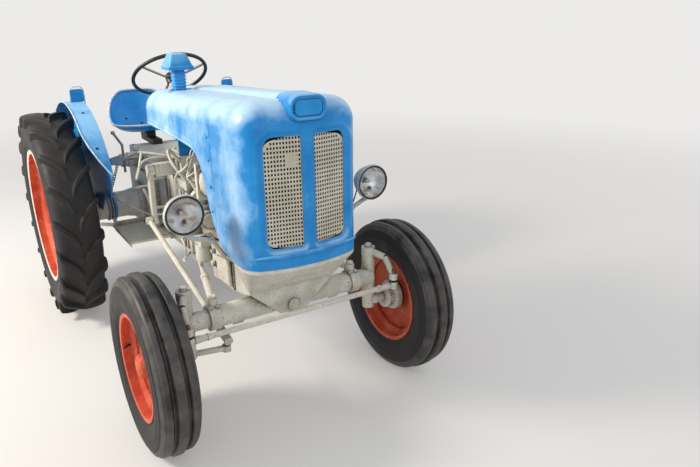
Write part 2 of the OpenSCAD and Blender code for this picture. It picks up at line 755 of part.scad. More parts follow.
// Fenders: inner plate with an arched flange over the tyre
fender_in = 425;
fender_out = 525;
flange_start = 150;
flange_end = 12;
taper_mid = 141;
clamp_in = 330;
clamp_out = 378;
lamp_plate_high = 82;
module fenders() {
    color(blue) both() {
        translate([0, rear_y, rear_hub_z]) {
            side(fender_in, fender_in + fender_wall) difference() {
                intersection() {
                    circle(fender_r, $fn = 180);
                    polygon([[-700, 150], [-300, 150], [-160, 20], [160, 20], [300, 110], [700, 110],
                        [700, 700], [-700, 700]]);
                }
                circle(trumpet_r + seat_gap);
                polygon([[-700, 305], [-535, 305], [-435, 180], [-420, 0], [-700, 0]]);
            }
            // Flange, narrowed to a point at its lower front end
            difference() {
                intersection() {
                    rotate([90, 0, 90]) translate([0, 0, fender_in]) rotate([0, 0, flange_end])
                        rotate_extrude(angle = flange_start - flange_end)
                            translate([fender_r - fender_wall, 0])
                                square([fender_wall, fender_out - fender_in]);
                    span([0, -800, 0], [600, 800, 800]);
                }
                rotate([90, 0, 90]) rotate([0, 0, taper_mid]) rotate([90, 0, 90])
                    translate([0, 0, fender_r - 60]) linear_extrude(100)
                        polygon([[-150, fender_out + 1], [-70, fender_out - 12], [20, fender_out - 44],
                            [99, fender_in + fender_wall], [180, fender_in + fender_wall],
                            [180, fender_out + 1]]);
            }
            // Upright plate for a rear lamp
            front(-13, -13 + fender_wall) difference() {
                union() {
                    translate([fender_in - 12, fender_r - 12]) square([75, lamp_plate_high - 20]);
                    translate([fender_in + 8, fender_r - 12]) square([35, lamp_plate_high]);
                    for (x = [fender_in + 8, fender_in + 43])
                        translate([x, fender_r + lamp_plate_high - 32]) circle(20);
                }
                translate([fender_in - 20, 0]) square([20, fender_r + 1]);
            }
        }
        // Bracket down to the trumpet, with its two straps
        span([clamp_in, rear_y - 60, rear_hub_z + trumpet_r + seat_gap],
            [fender_in + 1, rear_y + 60, rear_hub_z + trumpet_r + 10]);
        for (x = [clamp_in, clamp_out - 12]) difference() {
            xcyl(x, x + 12, rear_y, rear_hub_z, trumpet_r + 9);
            xcyl(x - 1, x + 13, rear_y, rear_hub_z, trumpet_r + seat_gap);
        }
    }
}

// Seat: pressed pan
seat_y = 1900;
seat_z = 965;
module seat() {
    color(blue) translate([0, seat_y, seat_z]) {
        difference() {
            hull() {
                translate([0, 0, 0]) cylinder(r1 = 150, r2 = seat_half_w, h = 60, $fn = 48);
                translate([0, 110, 190]) scale([1, 0.5, 0.3]) sphere(r = seat_half_w * 0.9, $fn = 32);
            }
            hull() {
                translate([0, -2, seat_wall])
                    cylinder(r1 = 150 - seat_wall, r2 = seat_half_w - seat_wall, h = 62,
                    $fn = 48);
                translate([0, 90, 220]) scale([1, 0.5, 0.3]) sphere(r = seat_half_w * 0.9, $fn = 32);
                translate([0, -300, 220]) cube([300, 10, 10], center = true);
            }
        }
    }
}
// Seat support on the lift cover
module seat_support() {
    color(dark_iron) {
        span([-30, seat_y - 200, cover_top], [30, seat_y - 60, cover_top + 30]);
        span([-30, seat_y - 70, cover_top], [30, seat_y + 60, seat_z - seat_gap]);
    }
}

// Steering box with its column
hub_y = 1318;
hub_z = 1357;
function on_column(d) = [0, hub_y - d * sin(column_tilt), hub_z - d * cos(column_tilt)];
module steering_box() {
    color(cream) {
        difference() {
            union() {
                span([-box_half, 930, case_top], [box_half, 1130, box_top]);
                span([-drop_end, drop_y - 31, drop_z - 31], [-box_half, drop_y + 31, drop_z + 31]);
                span([-box_half - 14, drop_y - 48, drop_z - 45], [-box_half, drop_y + 48, drop_z + 45]);
                // Cover with the column's flange
                span([-box_half + 12, 960, box_top], [box_half - 12, 1116, box_top + 10]);
                both() for (y = [974, 1038, 1102]) zcyl(box_top + 9, box_top + 18, box_half - 28, y, 9);
            }
            xcyl(-drop_end - 1, -drop_end + 60, drop_y, drop_z, drop_shaft_r + run_gap);
        }
        rod(on_column(520), on_column(58), 22);
        rod(on_column(60), on_column(28), column_end_r);
    }
}
box_half = 110;
box_top = 975;
column_end_r = 14;
drop_shaft_r = 15;
drop_y = 1010;
drop_z = 905;
drop_end = 235;

// Footrests: a plate on two bars, with a raised bar behind
foot_z = 500;
foot_front = 1085;
foot_rear = 1440;
foot_in = 215;
foot_out = 380;
foot_t = 6;
module footrests() {
    color(cream) both() {
        span([foot_in, foot_front, foot_z], [foot_out, foot_rear, foot_z + foot_t]);
        span([foot_in, foot_rear - foot_t, foot_z], [foot_out, foot_rear, foot_z + 32]);
        span([foot_out - foot_t, foot_front, foot_z - 20], [foot_out, foot_rear, foot_z + foot_t]);
        for (y = [foot_front + 50, gearbox_rear - 35])
            xcyl(gear_half + seat_gap, foot_out - 2, y, foot_z - 11, 11);
    }
}

// Pedals
pedal_y = 1200;
pedal_z = 560;
pad_z = 790;
module pedals() {
    color(cream) both() {
        xcyl(gear_half + seat_gap, 215, pedal_y, pedal_z, 14);
        xcyl(188, 212, pedal_y, pedal_z, 24);
        rod([200, pedal_y, pedal_z], [240, pedal_y - 45, pad_z - 70], 9);
        bend([240, pedal_y - 45, pad_z - 70], 9);
        rod([240, pedal_y - 45, pad_z - 70], [270, pedal_y - 70, pad_z], 9);
        translate([270, pedal_y - 70, pad_z]) rotate([-20, 0, 0]) {
            span([-38, -30, 0], [38, 30, 8]);
            span([-38, 24, 0], [38, 30, 16]);
            xcyl(-38, 38, -30, 4, 5);
        }
    }
}

// Gear levers. Columns: place along X, foot along Y, knob along Y, knob height
lever_table = [[0, 1230, 1330, 1120], [60, 1260, 1320, 1040]];
// Hand lever of the lift on the right side
hand_y = 1490;
hand_z = 880;
hand_x = 268;
module levers() {
    color(bare_metal) {
        for (lever = lever_table) {
            zcyl(case_top, case_top + 24, lever[0], lever[1], 17);
            rod([lever[0], lever[1], case_top + 16], [lever[0], lever[2], lever[3]], 8);
            translate([lever[0], lever[2], lever[3]]) sphere(17);
        }
        xcyl(-hand_x - 8, -case_half + 10 - seat_gap, hand_y, hand_z, 9);
        xcyl(-hand_x - 8, -hand_x + 8, hand_y, hand_z, 17);
        rod([-hand_x, hand_y, hand_z - 76], [-hand_x, hand_y, hand_z + 84], 7);
        bend([-hand_x, hand_y, hand_z + 84], 7);
        rod([-hand_x, hand_y, hand_z + 84], [-hand_x - 44, hand_y - 8, hand_z + 160], 7);
        translate([-hand_x - 44, hand_y - 8, hand_z + 160]) sphere(12);
    }
}

// Exhaust on the left side, led down and back beside the gearbox
pipe_x = 212;
pipe_z = 432;
pipe_r = 22;
pipe_y = 640;
manifold_z = deck_z + 45;
module exhaust() {
    color(dark_iron) {
        span([head_half, bore_y(0) - 40, manifold_z - 24],
            [head_half + 46, bore_y(2) + 30, manifold_z + 24]);
        for (i = [0:2])
            span([head_half, bore_y(i) - 34, manifold_z - 34],
                [head_half + 14, bore_y(i) + 34, manifold_z + 34]);
        rod([head_half + 26, pipe_y - 50, manifold_z], [pipe_x, pipe_y, deck_z - 30], pipe_r);
        translate([pipe_x, pipe_y, deck_z - 30]) sphere(pipe_r + 2);
        zcyl(pipe_z, deck_z - 30, pipe_x, pipe_y, pipe_r);
        translate([pipe_x, pipe_y, pipe_z]) sphere(pipe_r + 2);
        ycyl(pipe_y, 1290, pipe_x, pipe_z, pipe_r);
    }
}

// Drawbar under the rear axle case
drawbar_hole_r = 13;
drawbar_z = 380;
drawbar_end = rear_case_end + 380;
module drawbar() {
    color(dark_iron) difference() {
        union() {
            span([-32, 1380, drawbar_z], [32, drawbar_end, drawbar_z + 25]);
            span([-120, rear_case_end - 60, drawbar_z + 25], [120, rear_case_end, 430]);
            span([-90, 1380, drawbar_z + 25], [90, 1430, 430]);
        }
        zcyl(drawbar_z - 1, drawbar_z + 26, 0, drawbar_end - 40, drawbar_hole_r);
    }
}

// Steering wheel, in the plane square to the column
module steering_wheel() {
    color(tyre_black) translate([0, hub_y, hub_z]) rotate([-column_tilt, 0, 0]) difference() {
        union() {
            rotate_extrude() translate([wheel_r - 11, 0]) circle(11);
            translate([0, 0, -55]) cylinder(r = 30, h = 60);
            for (a = [90, 210, 330]) rotate([0, 0, a]) rod([20, 0, -20], [wheel_r - 12, 0, 0], 7);
        }
        translate([0, 0, -56]) cylinder(r = column_end_r + run_gap, h = 30);
    }
}

// Drop arm on the right side of the steering box
drop_x = -285;
drop_len = 270;
module drop_arm() {
    color(cream) {
        xcyl(-268, -237, drop_y, drop_z, 32);
        xcyl(-260, -235 + 58, drop_y, drop_z, drop_shaft_r);
        side(-268, -246) polygon([[drop_y - 26, drop_z], [drop_y + 26, drop_z],
            [drop_y + 16, drop_z - drop_len],
            [drop_y - 16, drop_z - drop_len]]);
        xcyl(-268, -246, drop_y, drop_z - drop_len, 22);
        xcyl(-305, -246, drop_y, drop_z - drop_len, 10);
    }
}

// Drag link from the drop arm to the right knuckle
drag_ball_z = 386;
drag_ball_y = kingpin_y;
drag_arm_z = 334;
module drag_link() {
    color(cream) difference() {
        union() {
            xcyl(drop_x - 16, drop_x + 14, drop_y, drop_z - drop_len, 20);
            rod([drop_x, drop_y, drop_z - drop_len], [drop_x, drag_ball_y, drag_ball_z], 13);
            rod([drop_x, drag_ball_y + 60, drag_ball_z + 15],
                [drop_x, drag_ball_y - 34, drag_ball_z - 8], 19);
        }
        xcyl(drop_x - 20, drop_x + 20, drop_y, drop_z - drop_len, 10 + run_gap);
    }
}

// Tie rod in front of the axle
arm_x = 487;
arm_y = -132;
arm_eye_z = 520;
tie_z = 488;
module tie_rod() {
    color(cream) {
        xcyl(-arm_x, arm_x, arm_y, tie_z, 12);
        both() zcyl(tie_z - 17, tie_z + 17, arm_x, arm_y, 20);
        zcyl(tie_z, arm_eye_z + 22, arm_x, arm_y, 9);
    }
}

// Knuckles: kingpin, stub axle and steering arm
stub_r = 20;
stub_end = front_x + 20;
hub_in = front_x - 82;
module knuckle_right() { mirror([1, 0, 0]) knuckle(true); }
module knuckle_left() { knuckle(false); }
module knuckle(with_drag_arm) {
    color(cream) difference() {
        union() {
            zcyl(front_hub_z - 30, 640, kingpin_x, kingpin_y, kingpin_r);
            zcyl(front_hub_z - 34, housing_low - 2, kingpin_x, kingpin_y, 28);
            rod([kingpin_x, kingpin_y, front_hub_z], [kingpin_x + 40, 0, front_hub_z], 24);
            xcyl(kingpin_x + 34, stub_end, 0, front_hub_z, stub_r);
            zcyl(housing_top + 2, 640, kingpin_x, kingpin_y, 32);
            rod([kingpin_x, kingpin_y, 622], [arm_x - 6, arm_y * 0.55, 606], 16);
            rod([arm_x - 6, arm_y * 0.55, 606], [arm_x, arm_y, arm_eye_z + 11], 15);
            zcyl(arm_eye_z - 4, arm_eye_z + 26, arm_x, arm_y, 21);
            if (with_drag_arm) {
                rod([kingpin_x, kingpin_y, front_hub_z - 18], [-drop_x, drag_ball_y, drag_arm_z], 13);
                zcyl(drag_arm_z - 14, drag_arm_z + 14, -drop_x, drag_ball_y, 19);
                zcyl(drag_arm_z, drag_ball_z - 24, -drop_x, drag_ball_y, 9);
                zcyl(tie_z + 19, arm_eye_z, arm_x, arm_y, 9);
            }
        }
        if (!with_drag_arm) zcyl(arm_eye_z - 30, arm_eye_z + 60, arm_x, arm_y, 9 + run_gap);
    }
}

// Front wheels
module front_rim_right() { mirror([1, 0, 0]) front_rim(); }
module front_rim_left() { front_rim(); }
module front_rim() {
    color(rim_red) translate([front_x, 0, front_hub_z]) rotate([90, 0, 90]) difference() {
        union() {
            rotate_extrude() polygon([[front_rim_r + 12, -68], [front_rim_r + 12, -62], [front_rim_r, -58],
                [front_rim_r, -30], [front_rim_r - 26, -14], [front_rim_r - 26, 14], [front_rim_r, 30],
                [front_rim_r, 58], [front_rim_r + 12, 62], [front_rim_r + 12, 68], [front_rim_r - 4, 66],
                [front_rim_r - 4, 32], [front_rim_r - 30, 16], [front_rim_r - 30, 6], [130, 0], [70, 18],
                [60, 18], [60, 12], [70, 12], [130, -6], [front_rim_r - 30, -2], [front_rim_r - 30, -16],
                [front_rim_r - 4, -32], [front_rim_r - 4, -66]]);
            translate([0, 0, -78]) cylinder(r = 46, h = 128);
            translate([0, 0, 6]) cylinder(r = 80, h = 10);
        }
        translate([0, 0, -79]) cylinder(r = stub_r + run_gap, h = 79 + 24);
    }
}
module front_tyre_right() { mirror([1, 0, 0]) front_tyre(); }
module front_tyre_left() { front_tyre(); }
module front_tyre() {
    w = front_tyre_w / 2;
    r = front_tyre_r;
    color(tyre_black) translate([front_x, 0, front_hub_z]) rotate([90, 0, 90])
        rotate_extrude() polygon([[front_rim_r + seat_gap, -56], [front_rim_r + 16, -60],
            [front_rim_r + 50, -w + 4],
            [r - 75, -w], [r - 40, -w + 6], [r - 12, -62], [r - 8, -56], [r - 8, -38],
            [r - groove_deep, -32],
            [r - groove_deep, -23], [r, -17], [r, 17], [r - groove_deep, 23], [r - groove_deep, 32],
            [r - 8, 38],
            [r - 8, 56], [r - 12, 62], [r - 40, w - 6], [r - 75, w], [front_rim_r + 50, w - 4],
            [front_rim_r + 16, 60], [front_rim_r + seat_gap, 56]]);
}

// Rear wheels
module rear_rim_right() { mirror([1, 0, 0]) rear_rim(); }
module rear_rim_left() { rear_rim(); }
rim_half = 105;
disc_x = -28;
module rear_rim() {
    color(rim_red) translate([rear_x, rear_y, rear_hub_z]) rotate([90, 0, 90]) {
        rotate_extrude() polygon([[rear_rim_r + 16, -rim_half], [rear_rim_r + 16, -rim_half + 7],
            [rear_rim_r, -rim_half + 12], [rear_rim_r, -60], [rear_rim_r - 26, -40], [rear_rim_r - 26, 40],
            [rear_rim_r, 60], [rear_rim_r, rim_half - 12], [rear_rim_r + 16, rim_half - 7],
            [rear_rim_r + 16, rim_half], [rear_rim_r - 5, rim_half - 6], [rear_rim_r - 5, 62],
            [rear_rim_r - 31, 42], [rear_rim_r - 31, disc_x + 6], [180, disc_x + 40], [140, disc_x + 6],
            [0, disc_x + 6], [0, disc_x], [142, disc_x], [180, disc_x + 34], [rear_rim_r - 31, disc_x],
            [rear_rim_r - 31, -42], [rear_rim_r - 5, -62], [rear_rim_r - 5, -rim_half + 6]]);
        translate([0, 0, trumpet_end - rear_x + 6])
            cylinder(r = 88, h = disc_x - (trumpet_end - rear_x + 6));
        translate([0, 0, trumpet_end - rear_x - 80]) cylinder(r = shaft_r, h = 100);
    }
}
module rear_tyre_right() { mirror([1, 0, 0]) rear_tyre(); }
module rear_tyre_left() { rear_tyre(); }
module rear_tyre() {
    w = rear_tyre_w / 2;
    r = rear_tyre_r;
    c = rear_tyre_r - lug_h;
    pitch = 360 / lug_count;
    color(tyre_black) translate([rear_x, rear_y, rear_hub_z]) rotate([90, 0, 90]) {
        rotate_extrude() polygon([[rear_rim_r + seat_gap, -rim_half + 14], [rear_rim_r + 22, -rim_half + 6],
            [rear_rim_r + 70, -w + 12], [r - 90, -w + 8], [c - 40, -w + 12], [c - 14, -w + 26],
            [c - 3, -w + 50],
            [c, -20], [c, 20], [c - 3, w - 50], [c - 14, w - 26], [c - 40, w - 12], [r - 90, w - 8],
            [rear_rim_r + 70, w - 12], [rear_rim_r + 22, rim_half - 6],
            [rear_rim_r + seat_gap, rim_half - 14]]);
        for (s = [0, 1], i = [0:lug_count - 1])
            mirror([0, 0, s]) rotate([0, 0, (i + s / 2) * pitch + lug_phase]) lug(w, r);
    }
}
// Turn of the pattern, so that a lug of each side stands on the floor
lug_phase = -6;
// One curved lug, from near the centre line out and down the shoulder. Columns: place across as a share of
// the half width, depth of the top below the outside radius, place of the base across as a share, depth of
// the base, turn back from the centre end, half of the width on top, half of the width at the base
lug_table = [[0.03, 2, 0.03, 44, 0, 15, 24], [0.22, 0, 0.22, 44, 4.4, 19, 27],
    [0.48, 0, 0.48, 46, 8.4, 18, 25],
    [0.74, 3, 0.72, 52, 11.5, 17, 23], [0.94, 12, 0.80, 64, 13.4, 16, 21], [1, 66, 0.86, 86, 14.6, 12, 15]];
module lug(w, r) {
    rows = len(lug_table);
    polyhedron(
        points = [for (q = lug_table) each [
            lug_point(r - q[1], -q[4], -q[5], q[0] * w), lug_point(r - q[1], -q[4], q[5], q[0] * w),
            lug_point(r - q[3], -q[4], q[6], q[2] * w), lug_point(r - q[3], -q[4], -q[6], q[2] * w)]],
        faces = concat([[0, 1, 2, 3]], [for (k = [0:rows - 2], m = [0:3])
            [4 * k + m, 4 * k + 4 + m, 4 * k + 4 + (m + 1) % 4, 4 * k + (m + 1) % 4]],
            [[for (m = [3:-1:0]) 4 * (rows - 1) + m]]));
}
function lug_point(r, turn, off, z) = [r * cos(turn) - off * sin(turn), r * sin(turn) + off * cos(turn), z];

// Rear lift: arms on the cross shaft, rods down to the lower links
link_in_x = case_half + 25;
link_t = 16;
lift_arm_x = 232;
function lift_tip() = [lift_y + lift_reach * cos(link_drop), lift_z - lift_reach * sin(link_drop)];
module lift_arms() {
    color(cream) both() {
        xcyl(lift_in_x - 78, lift_arm_x + lift_arm_t, lift_y, lift_z, lift_shaft_r);
        xcyl(lift_in_x, lift_arm_x + lift_arm_t, lift_y, lift_z, 40);
        side(lift_arm_x, lift_arm_x + lift_arm_t) hull() {
            translate([lift_y, lift_z]) circle(34, $fn = 32);
            translate(lift_tip()) circle(22, $fn = 32);
        }
        xcyl(lift_arm_x, lift_arm_x + lift_arm_t + 34, lift_tip()[0], lift_tip()[1], 10);
    }
}
rod_x = lift_arm_x + lift_arm_t + 5;
module lift_rods() {
    color(cream) both() difference() {
        union() {
            xcyl(rod_x, rod_x + 22, lift_tip()[0], lift_tip()[1], 20);
            rod([rod_x + 11, lift_tip()[0], lift_tip()[1]],
                [rod_x + 11, rod_y, link_z - lift_reach * sin(link_drop)], 12);
            xcyl(rod_x, rod_x + 22, rod_y, link_z - lift_reach * sin(link_drop), 20);
        }
        xcyl(rod_x - 1, rod_x + 23, lift_tip()[0], lift_tip()[1], 10 + run_gap);
        xcyl(rod_x - 1, rod_x + 23, rod_y, link_z - lift_reach * sin(link_drop), 10 + run_gap);
    }
}
link_mid_x = rod_x - 30;
link_out_x = 340;
module lower_links() {
    color(cream) both() difference() {
        union() {
            translate([0, link_y, link_z]) rotate([-link_drop, 0, 0]) {
                xcyl(link_in_x, link_in_x + link_t, 0, 0, 26);
                rod([link_in_x + link_t / 2, 0, 0], [link_mid_x + 8, lift_reach, 0], 13);
                xcyl(link_mid_x, link_mid_x + 17, lift_reach, 0, 26);
                xcyl(link_mid_x, rod_x + 30, lift_reach, 0, 10);
                rod([link_mid_x + 8, lift_reach, 0], [link_out_x, link_len, 0], 13);
                xcyl(link_out_x - 17, link_out_x + 17, link_len, 0, link_ball_r);
            }
        }
        xcyl(link_in_x - 12, link_in_x + link_t + 12, link_y, link_z, 11 + run_gap);
        xcyl(link_out_x - 20, link_out_x + 20, link_end_y, link_end_z, link_ball_bore);
    }
}

place() front_support();
place() axle_beam();
place() axle_ends();
place() radius_rods();
place() engine_block();
place() cylinder_head();
place() injection_pump();
place() fuel_filters();
place() dynamo();
place() radiator();
place() gearbox();
place() rear_axle();
place() lift_cover();
place() hood();
place() grille();
place() front_trim();
place() air_intake();
place() instrument_panel();
place() headlamps();
place() headlamp_glasses();
place() headlamp_brackets();
place() fenders();
place() seat();
place() seat_support();
place() steering_box();
place() footrests();
place() pedals();
place() levers();
place() exhaust();
place() drawbar();
place() steering_wheel();
place() drop_arm();
place() drag_link();
place() tie_rod();
place() knuckle_right();
place() knuckle_left();
place() front_rim_right();
place() front_rim_left();
place() front_tyre_right();
place() front_tyre_left();
place() rear_rim_right();
place() rear_rim_left();
place() rear_tyre_right();
place() rear_tyre_left();
place() lift_arms();
place() lift_rods();
place() lower_links();
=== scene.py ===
"""Vintage farm tractor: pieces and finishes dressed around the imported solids."""

import functools
import math

import bmesh
import bpy
from mathutils import Matrix, Vector, noise


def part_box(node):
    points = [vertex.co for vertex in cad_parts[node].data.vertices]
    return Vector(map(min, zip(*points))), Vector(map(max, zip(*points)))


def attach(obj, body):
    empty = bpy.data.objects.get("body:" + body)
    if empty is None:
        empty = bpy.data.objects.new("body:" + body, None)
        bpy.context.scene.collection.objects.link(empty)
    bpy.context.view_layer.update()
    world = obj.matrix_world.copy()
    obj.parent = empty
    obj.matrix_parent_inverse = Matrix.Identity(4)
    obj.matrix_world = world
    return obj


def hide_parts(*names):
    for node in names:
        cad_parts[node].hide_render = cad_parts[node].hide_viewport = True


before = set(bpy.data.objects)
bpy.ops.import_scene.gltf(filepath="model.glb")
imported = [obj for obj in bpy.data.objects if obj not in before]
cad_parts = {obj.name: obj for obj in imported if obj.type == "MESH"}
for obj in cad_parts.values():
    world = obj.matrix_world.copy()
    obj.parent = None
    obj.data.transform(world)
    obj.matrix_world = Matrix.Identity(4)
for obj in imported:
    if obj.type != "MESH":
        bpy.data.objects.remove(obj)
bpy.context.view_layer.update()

bl_info = {
    "name": "Vintage farm tractor",
    "version": (1, 0, 0),
    "blender": (4, 5, 0),
    "location": "View3D > Sidebar > Tractor",
    "description": "Builds the visible pieces and finishes of a vintage farm tractor around its solids",
    "category": "Add Mesh",
}

# Lengths in this file are millimetres from the front axle: -Y is the nose, +X the tractor's left, Z 0 the floor
MM = 0.001
LOW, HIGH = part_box("front_tyre_right")
AXLE_Y = (LOW.y + HIGH.y) / 2
TO_FRAME = Matrix.Translation((0, AXLE_Y, 0)) @ Matrix.Scale(MM, 4)
MIRROR_X = Matrix.Scale(-1, 4, (1, 0, 0))
SIDES = ((-1, "right"), (1, "left"))


# Small mesh tools: each gives one form as a bmesh in millimetres


def soften(bm, edges, width, segments):
    """Rounds the edges."""
    bmesh.ops.bevel(bm, geom=edges, offset=width, offset_type="OFFSET", affect="EDGES", segments=segments,
                    profile=0.5, material=-1, clamp_overlap=True)


def settled(bm, place=Matrix.Identity(4)):
    """A closed form with its faces outward, moved to its place."""
    bmesh.ops.recalc_face_normals(bm, faces=bm.faces)
    bmesh.ops.transform(bm, matrix=place, verts=bm.verts)
    return bm


def block(low, high, bevel, segments=2):
    """A box from its low to its high corner, with rounded edges."""
    low, high = Vector(low), Vector(high)
    bm = bmesh.new()
    bmesh.ops.create_cube(bm, size=1.0)
    bmesh.ops.scale(bm, vec=high - low, verts=bm.verts)
    bmesh.ops.translate(bm, vec=(low + high) / 2, verts=bm.verts)
    soften(bm, bm.edges[:], bevel, segments)
    return bm


def aimed(a, b):
    """The place at a whose Z points to b."""
    return Matrix.Translation(a) @ (Vector(b) - Vector(a)).to_track_quat("Z", "Y").to_matrix().to_4x4()


def drum(a, b, r, r_end=None, sides=32, bevel=1.5, segments=2):
    """A round bar or cone between two points, with rounded rims."""
    length = (Vector(b) - Vector(a)).length
    bm = bmesh.new()
    bmesh.ops.create_cone(bm, cap_ends=True, segments=sides, radius1=r, radius2=r if r_end is None else r_end,
                          depth=length, matrix=Matrix.Translation((0, 0, length / 2)))
    soften(bm, [e for e in bm.edges if any(len(f.verts) > 4 for f in e.link_faces)], bevel, segments)
    bmesh.ops.transform(bm, matrix=aimed(a, b), verts=bm.verts)
    return bm


def ball(centre, r, sides, stretch):
    """A round knob, stretched along X, Y and Z."""
    bm = bmesh.new()
    bmesh.ops.create_uvsphere(bm, u_segments=sides, v_segments=sides // 2, radius=r,
                              matrix=Matrix.Translation(centre) @ Matrix.Diagonal((*stretch, 1)))
    return bm


def turned(profile, at, out, sides):
    """A form turned about the axis at a place, pointing out. Profile: places along the axis and radii."""
    bm = bmesh.new()
    verts = [bm.verts.new((r, 0, along)) for along, r in profile]
    pairs = list(zip(verts, verts[1:]))
    if profile[0][1] or profile[-1][1]:
        pairs.append((verts[-1], verts[0]))
    edges = [bm.edges.new(pair) for pair in pairs]
    bmesh.ops.spin(bm, geom=verts + edges, cent=(0, 0, 0), axis=(0, 0, 1), angle=math.tau, steps=sides,
                   use_merge=True)
    bmesh.ops.remove_doubles(bm, verts=bm.verts, dist=1e-3)
    return settled(bm, aimed(at, Vector(at) + Vector(out)))


def smooth_line(points, steps):
    """The points with rounder bends between them."""
    points = [Vector(p) for p in points]
    ends = [points[0] * 2 - points[1], *points, points[-1] * 2 - points[-2]]
    line = []
    for p0, p1, p2, p3 in zip(ends, ends[1:], ends[2:], ends[3:]):
        for step in range(steps):
            t = step / steps
            line.append(0.5 * ((2 * p1) + (p2 - p0) * t + (2 * p0 - 5 * p1 + 4 * p2 - p3) * t * t
                               + (3 * p1 - p0 - 3 * p2 + p3) * t * t * t))
    return [*line, points[-1]]


def pipe(points, r, sides=12, steps=4):
    """A pipe or bar through the points, with rounder bends where steps is above 1."""
    line = smooth_line(points, steps) if steps > 1 else [Vector(p) for p in points]
    ways = [(b - a).normalized() for a, b in zip(line, line[1:])]
    turn = ways[0].to_track_quat("Z", "Y")
    places = []
    for i, point in enumerate(line):
        way = ways[0] if i == 0 else ways[-1] if i == len(ways) else (ways[i - 1] + ways[i]).normalized()
        turn = (turn @ Vector((0, 0, 1))).rotation_difference(way) @ turn
        places.append(Matrix.Translation(point) @ turn.to_matrix().to_4x4())
    bm = bmesh.new()
    bmesh.ops.create_circle(bm, cap_ends=True, segments=sides, radius=r, matrix=places[0])
    face = bm.faces[:][0]
    for before, after in zip(places, places[1:]):
        made = bmesh.ops.extrude_face_region(bm, geom=[face])["geom"]
        face = next(g for g in made if isinstance(g, bmesh.types.BMFace))
        bmesh.ops.transform(bm, matrix=after @ before.inverted(), verts=face.verts[:])
    return settled(bm)


def ring(centre, out, radius, r, sides, steps):
    """A round ring of round bar about an axis."""
    bm = bmesh.new()
    made = bmesh.ops.create_circle(bm, segments=sides, radius=r,
                                   matrix=Matrix.Translation((radius, 0, 0)) @ Matrix.Rotation(math.pi / 2, 4, "X"))
    bmesh.ops.spin(bm, geom=made["verts"] + bm.edges[:], cent=(0, 0, 0), axis=(0, 0, 1), angle=math.tau,
                   steps=steps, use_merge=True)
    return settled(bm, aimed(centre, Vector(centre) + Vector(out)))


def side_at(x):
    """Place of a flat outline drawn in Y and Z, with its depth along X."""
    return Matrix(((0, 0, 1, x), (1, 0, 0, 0), (0, 1, 0, 0), (0, 0, 0, 1)))


def front_at(y):
    """Place of a flat outline drawn in X and Z, with its depth towards the nose."""
    return Matrix(((1, 0, 0, 0), (0, 0, -1, y), (0, 1, 0, 0), (0, 0, 0, 1)))


def plate(outline, depth, place, bevel, segments=2, caps_only=False):
    """A flat outline made as thick as depth, with rounded edges, or only the edge round its far face."""
    bm = bmesh.new()
    face = bm.faces.new([bm.verts.new((a, b, 0)) for a, b in outline])
    made = bmesh.ops.extrude_face_region(bm, geom=[face])["geom"]
    bmesh.ops.translate(bm, vec=(0, 0, depth), verts=[g for g in made if isinstance(g, bmesh.types.BMVert)])
    settled(bm)
    soften(bm, [e for e in bm.edges if not caps_only or all(v.co.z > depth / 2 for v in e.verts)], bevel, segments)
    bmesh.ops.transform(bm, matrix=place, verts=bm.verts)
    return bm


def bolt(at, out, r, head, washer=2.0):
    """A hexagon bolt head on its washer."""
    at, out = Vector(at), Vector(out).normalized()
    bm = drum(at - out, at + out * washer, r * 1.35, sides=16, bevel=0.4, segments=1)
    top = drum(at + out * washer, at + out * (washer + head), r, sides=6, bevel=0.8, segments=1)
    mesh = bpy.data.meshes.new("head")
    top.to_mesh(mesh)
    top.free()
    bm.from_mesh(mesh)
    bpy.data.meshes.remove(mesh)
    return bm


def patch(columns, rows, place):
    """A sheet of columns by rows cells, whose corners place() puts, given two shares from 0 to 1."""
    bm = bmesh.new()
    bmesh.ops.create_grid(bm, x_segments=columns, y_segments=rows, size=0.5)
    for vert in bm.verts:
        vert.co = place(vert.co.x + 0.5, vert.co.y + 0.5)
    return bm


def blend_step(low, high, value):
    """0 below low, 1 above high, and smooth between them."""
    share = min(1.0, max(0.0, (value - low) / (high - low)))
    return share * share * (3 - 2 * share)


def read_curve(table, value):
    """The smooth curve through a table of (place, height) rows, at a place."""
    if value <= table[0][0]:
        return table[0][1]
    if value >= table[-1][0]:
        return table[-1][1]
    i = next(k for k in range(len(table) - 1) if value <= table[k + 1][0])

    def rise(k):
        (x0, y0), (x1, y1) = table[k:k + 2]
        return (y1 - y0) / (x1 - x0)

    def slope(k):
        if k in (0, len(table) - 1):
            return 0.0 if k == 0 else rise(k - 1)
        before, after = rise(k - 1), rise(k)
        return 0.0 if before * after <= 0 else 2 * before * after / (before + after)

    (x0, y0), (x1, y1) = table[i], table[i + 1]
    wide = x1 - x0
    t = (value - x0) / wide
    return ((2 * t ** 3 - 3 * t ** 2 + 1) * y0 + (t ** 3 - 2 * t ** 2 + t) * wide * slope(i)
            + (3 * t ** 2 - 2 * t ** 3) * y1 + (t ** 3 - t ** 2) * wide * slope(i + 1))


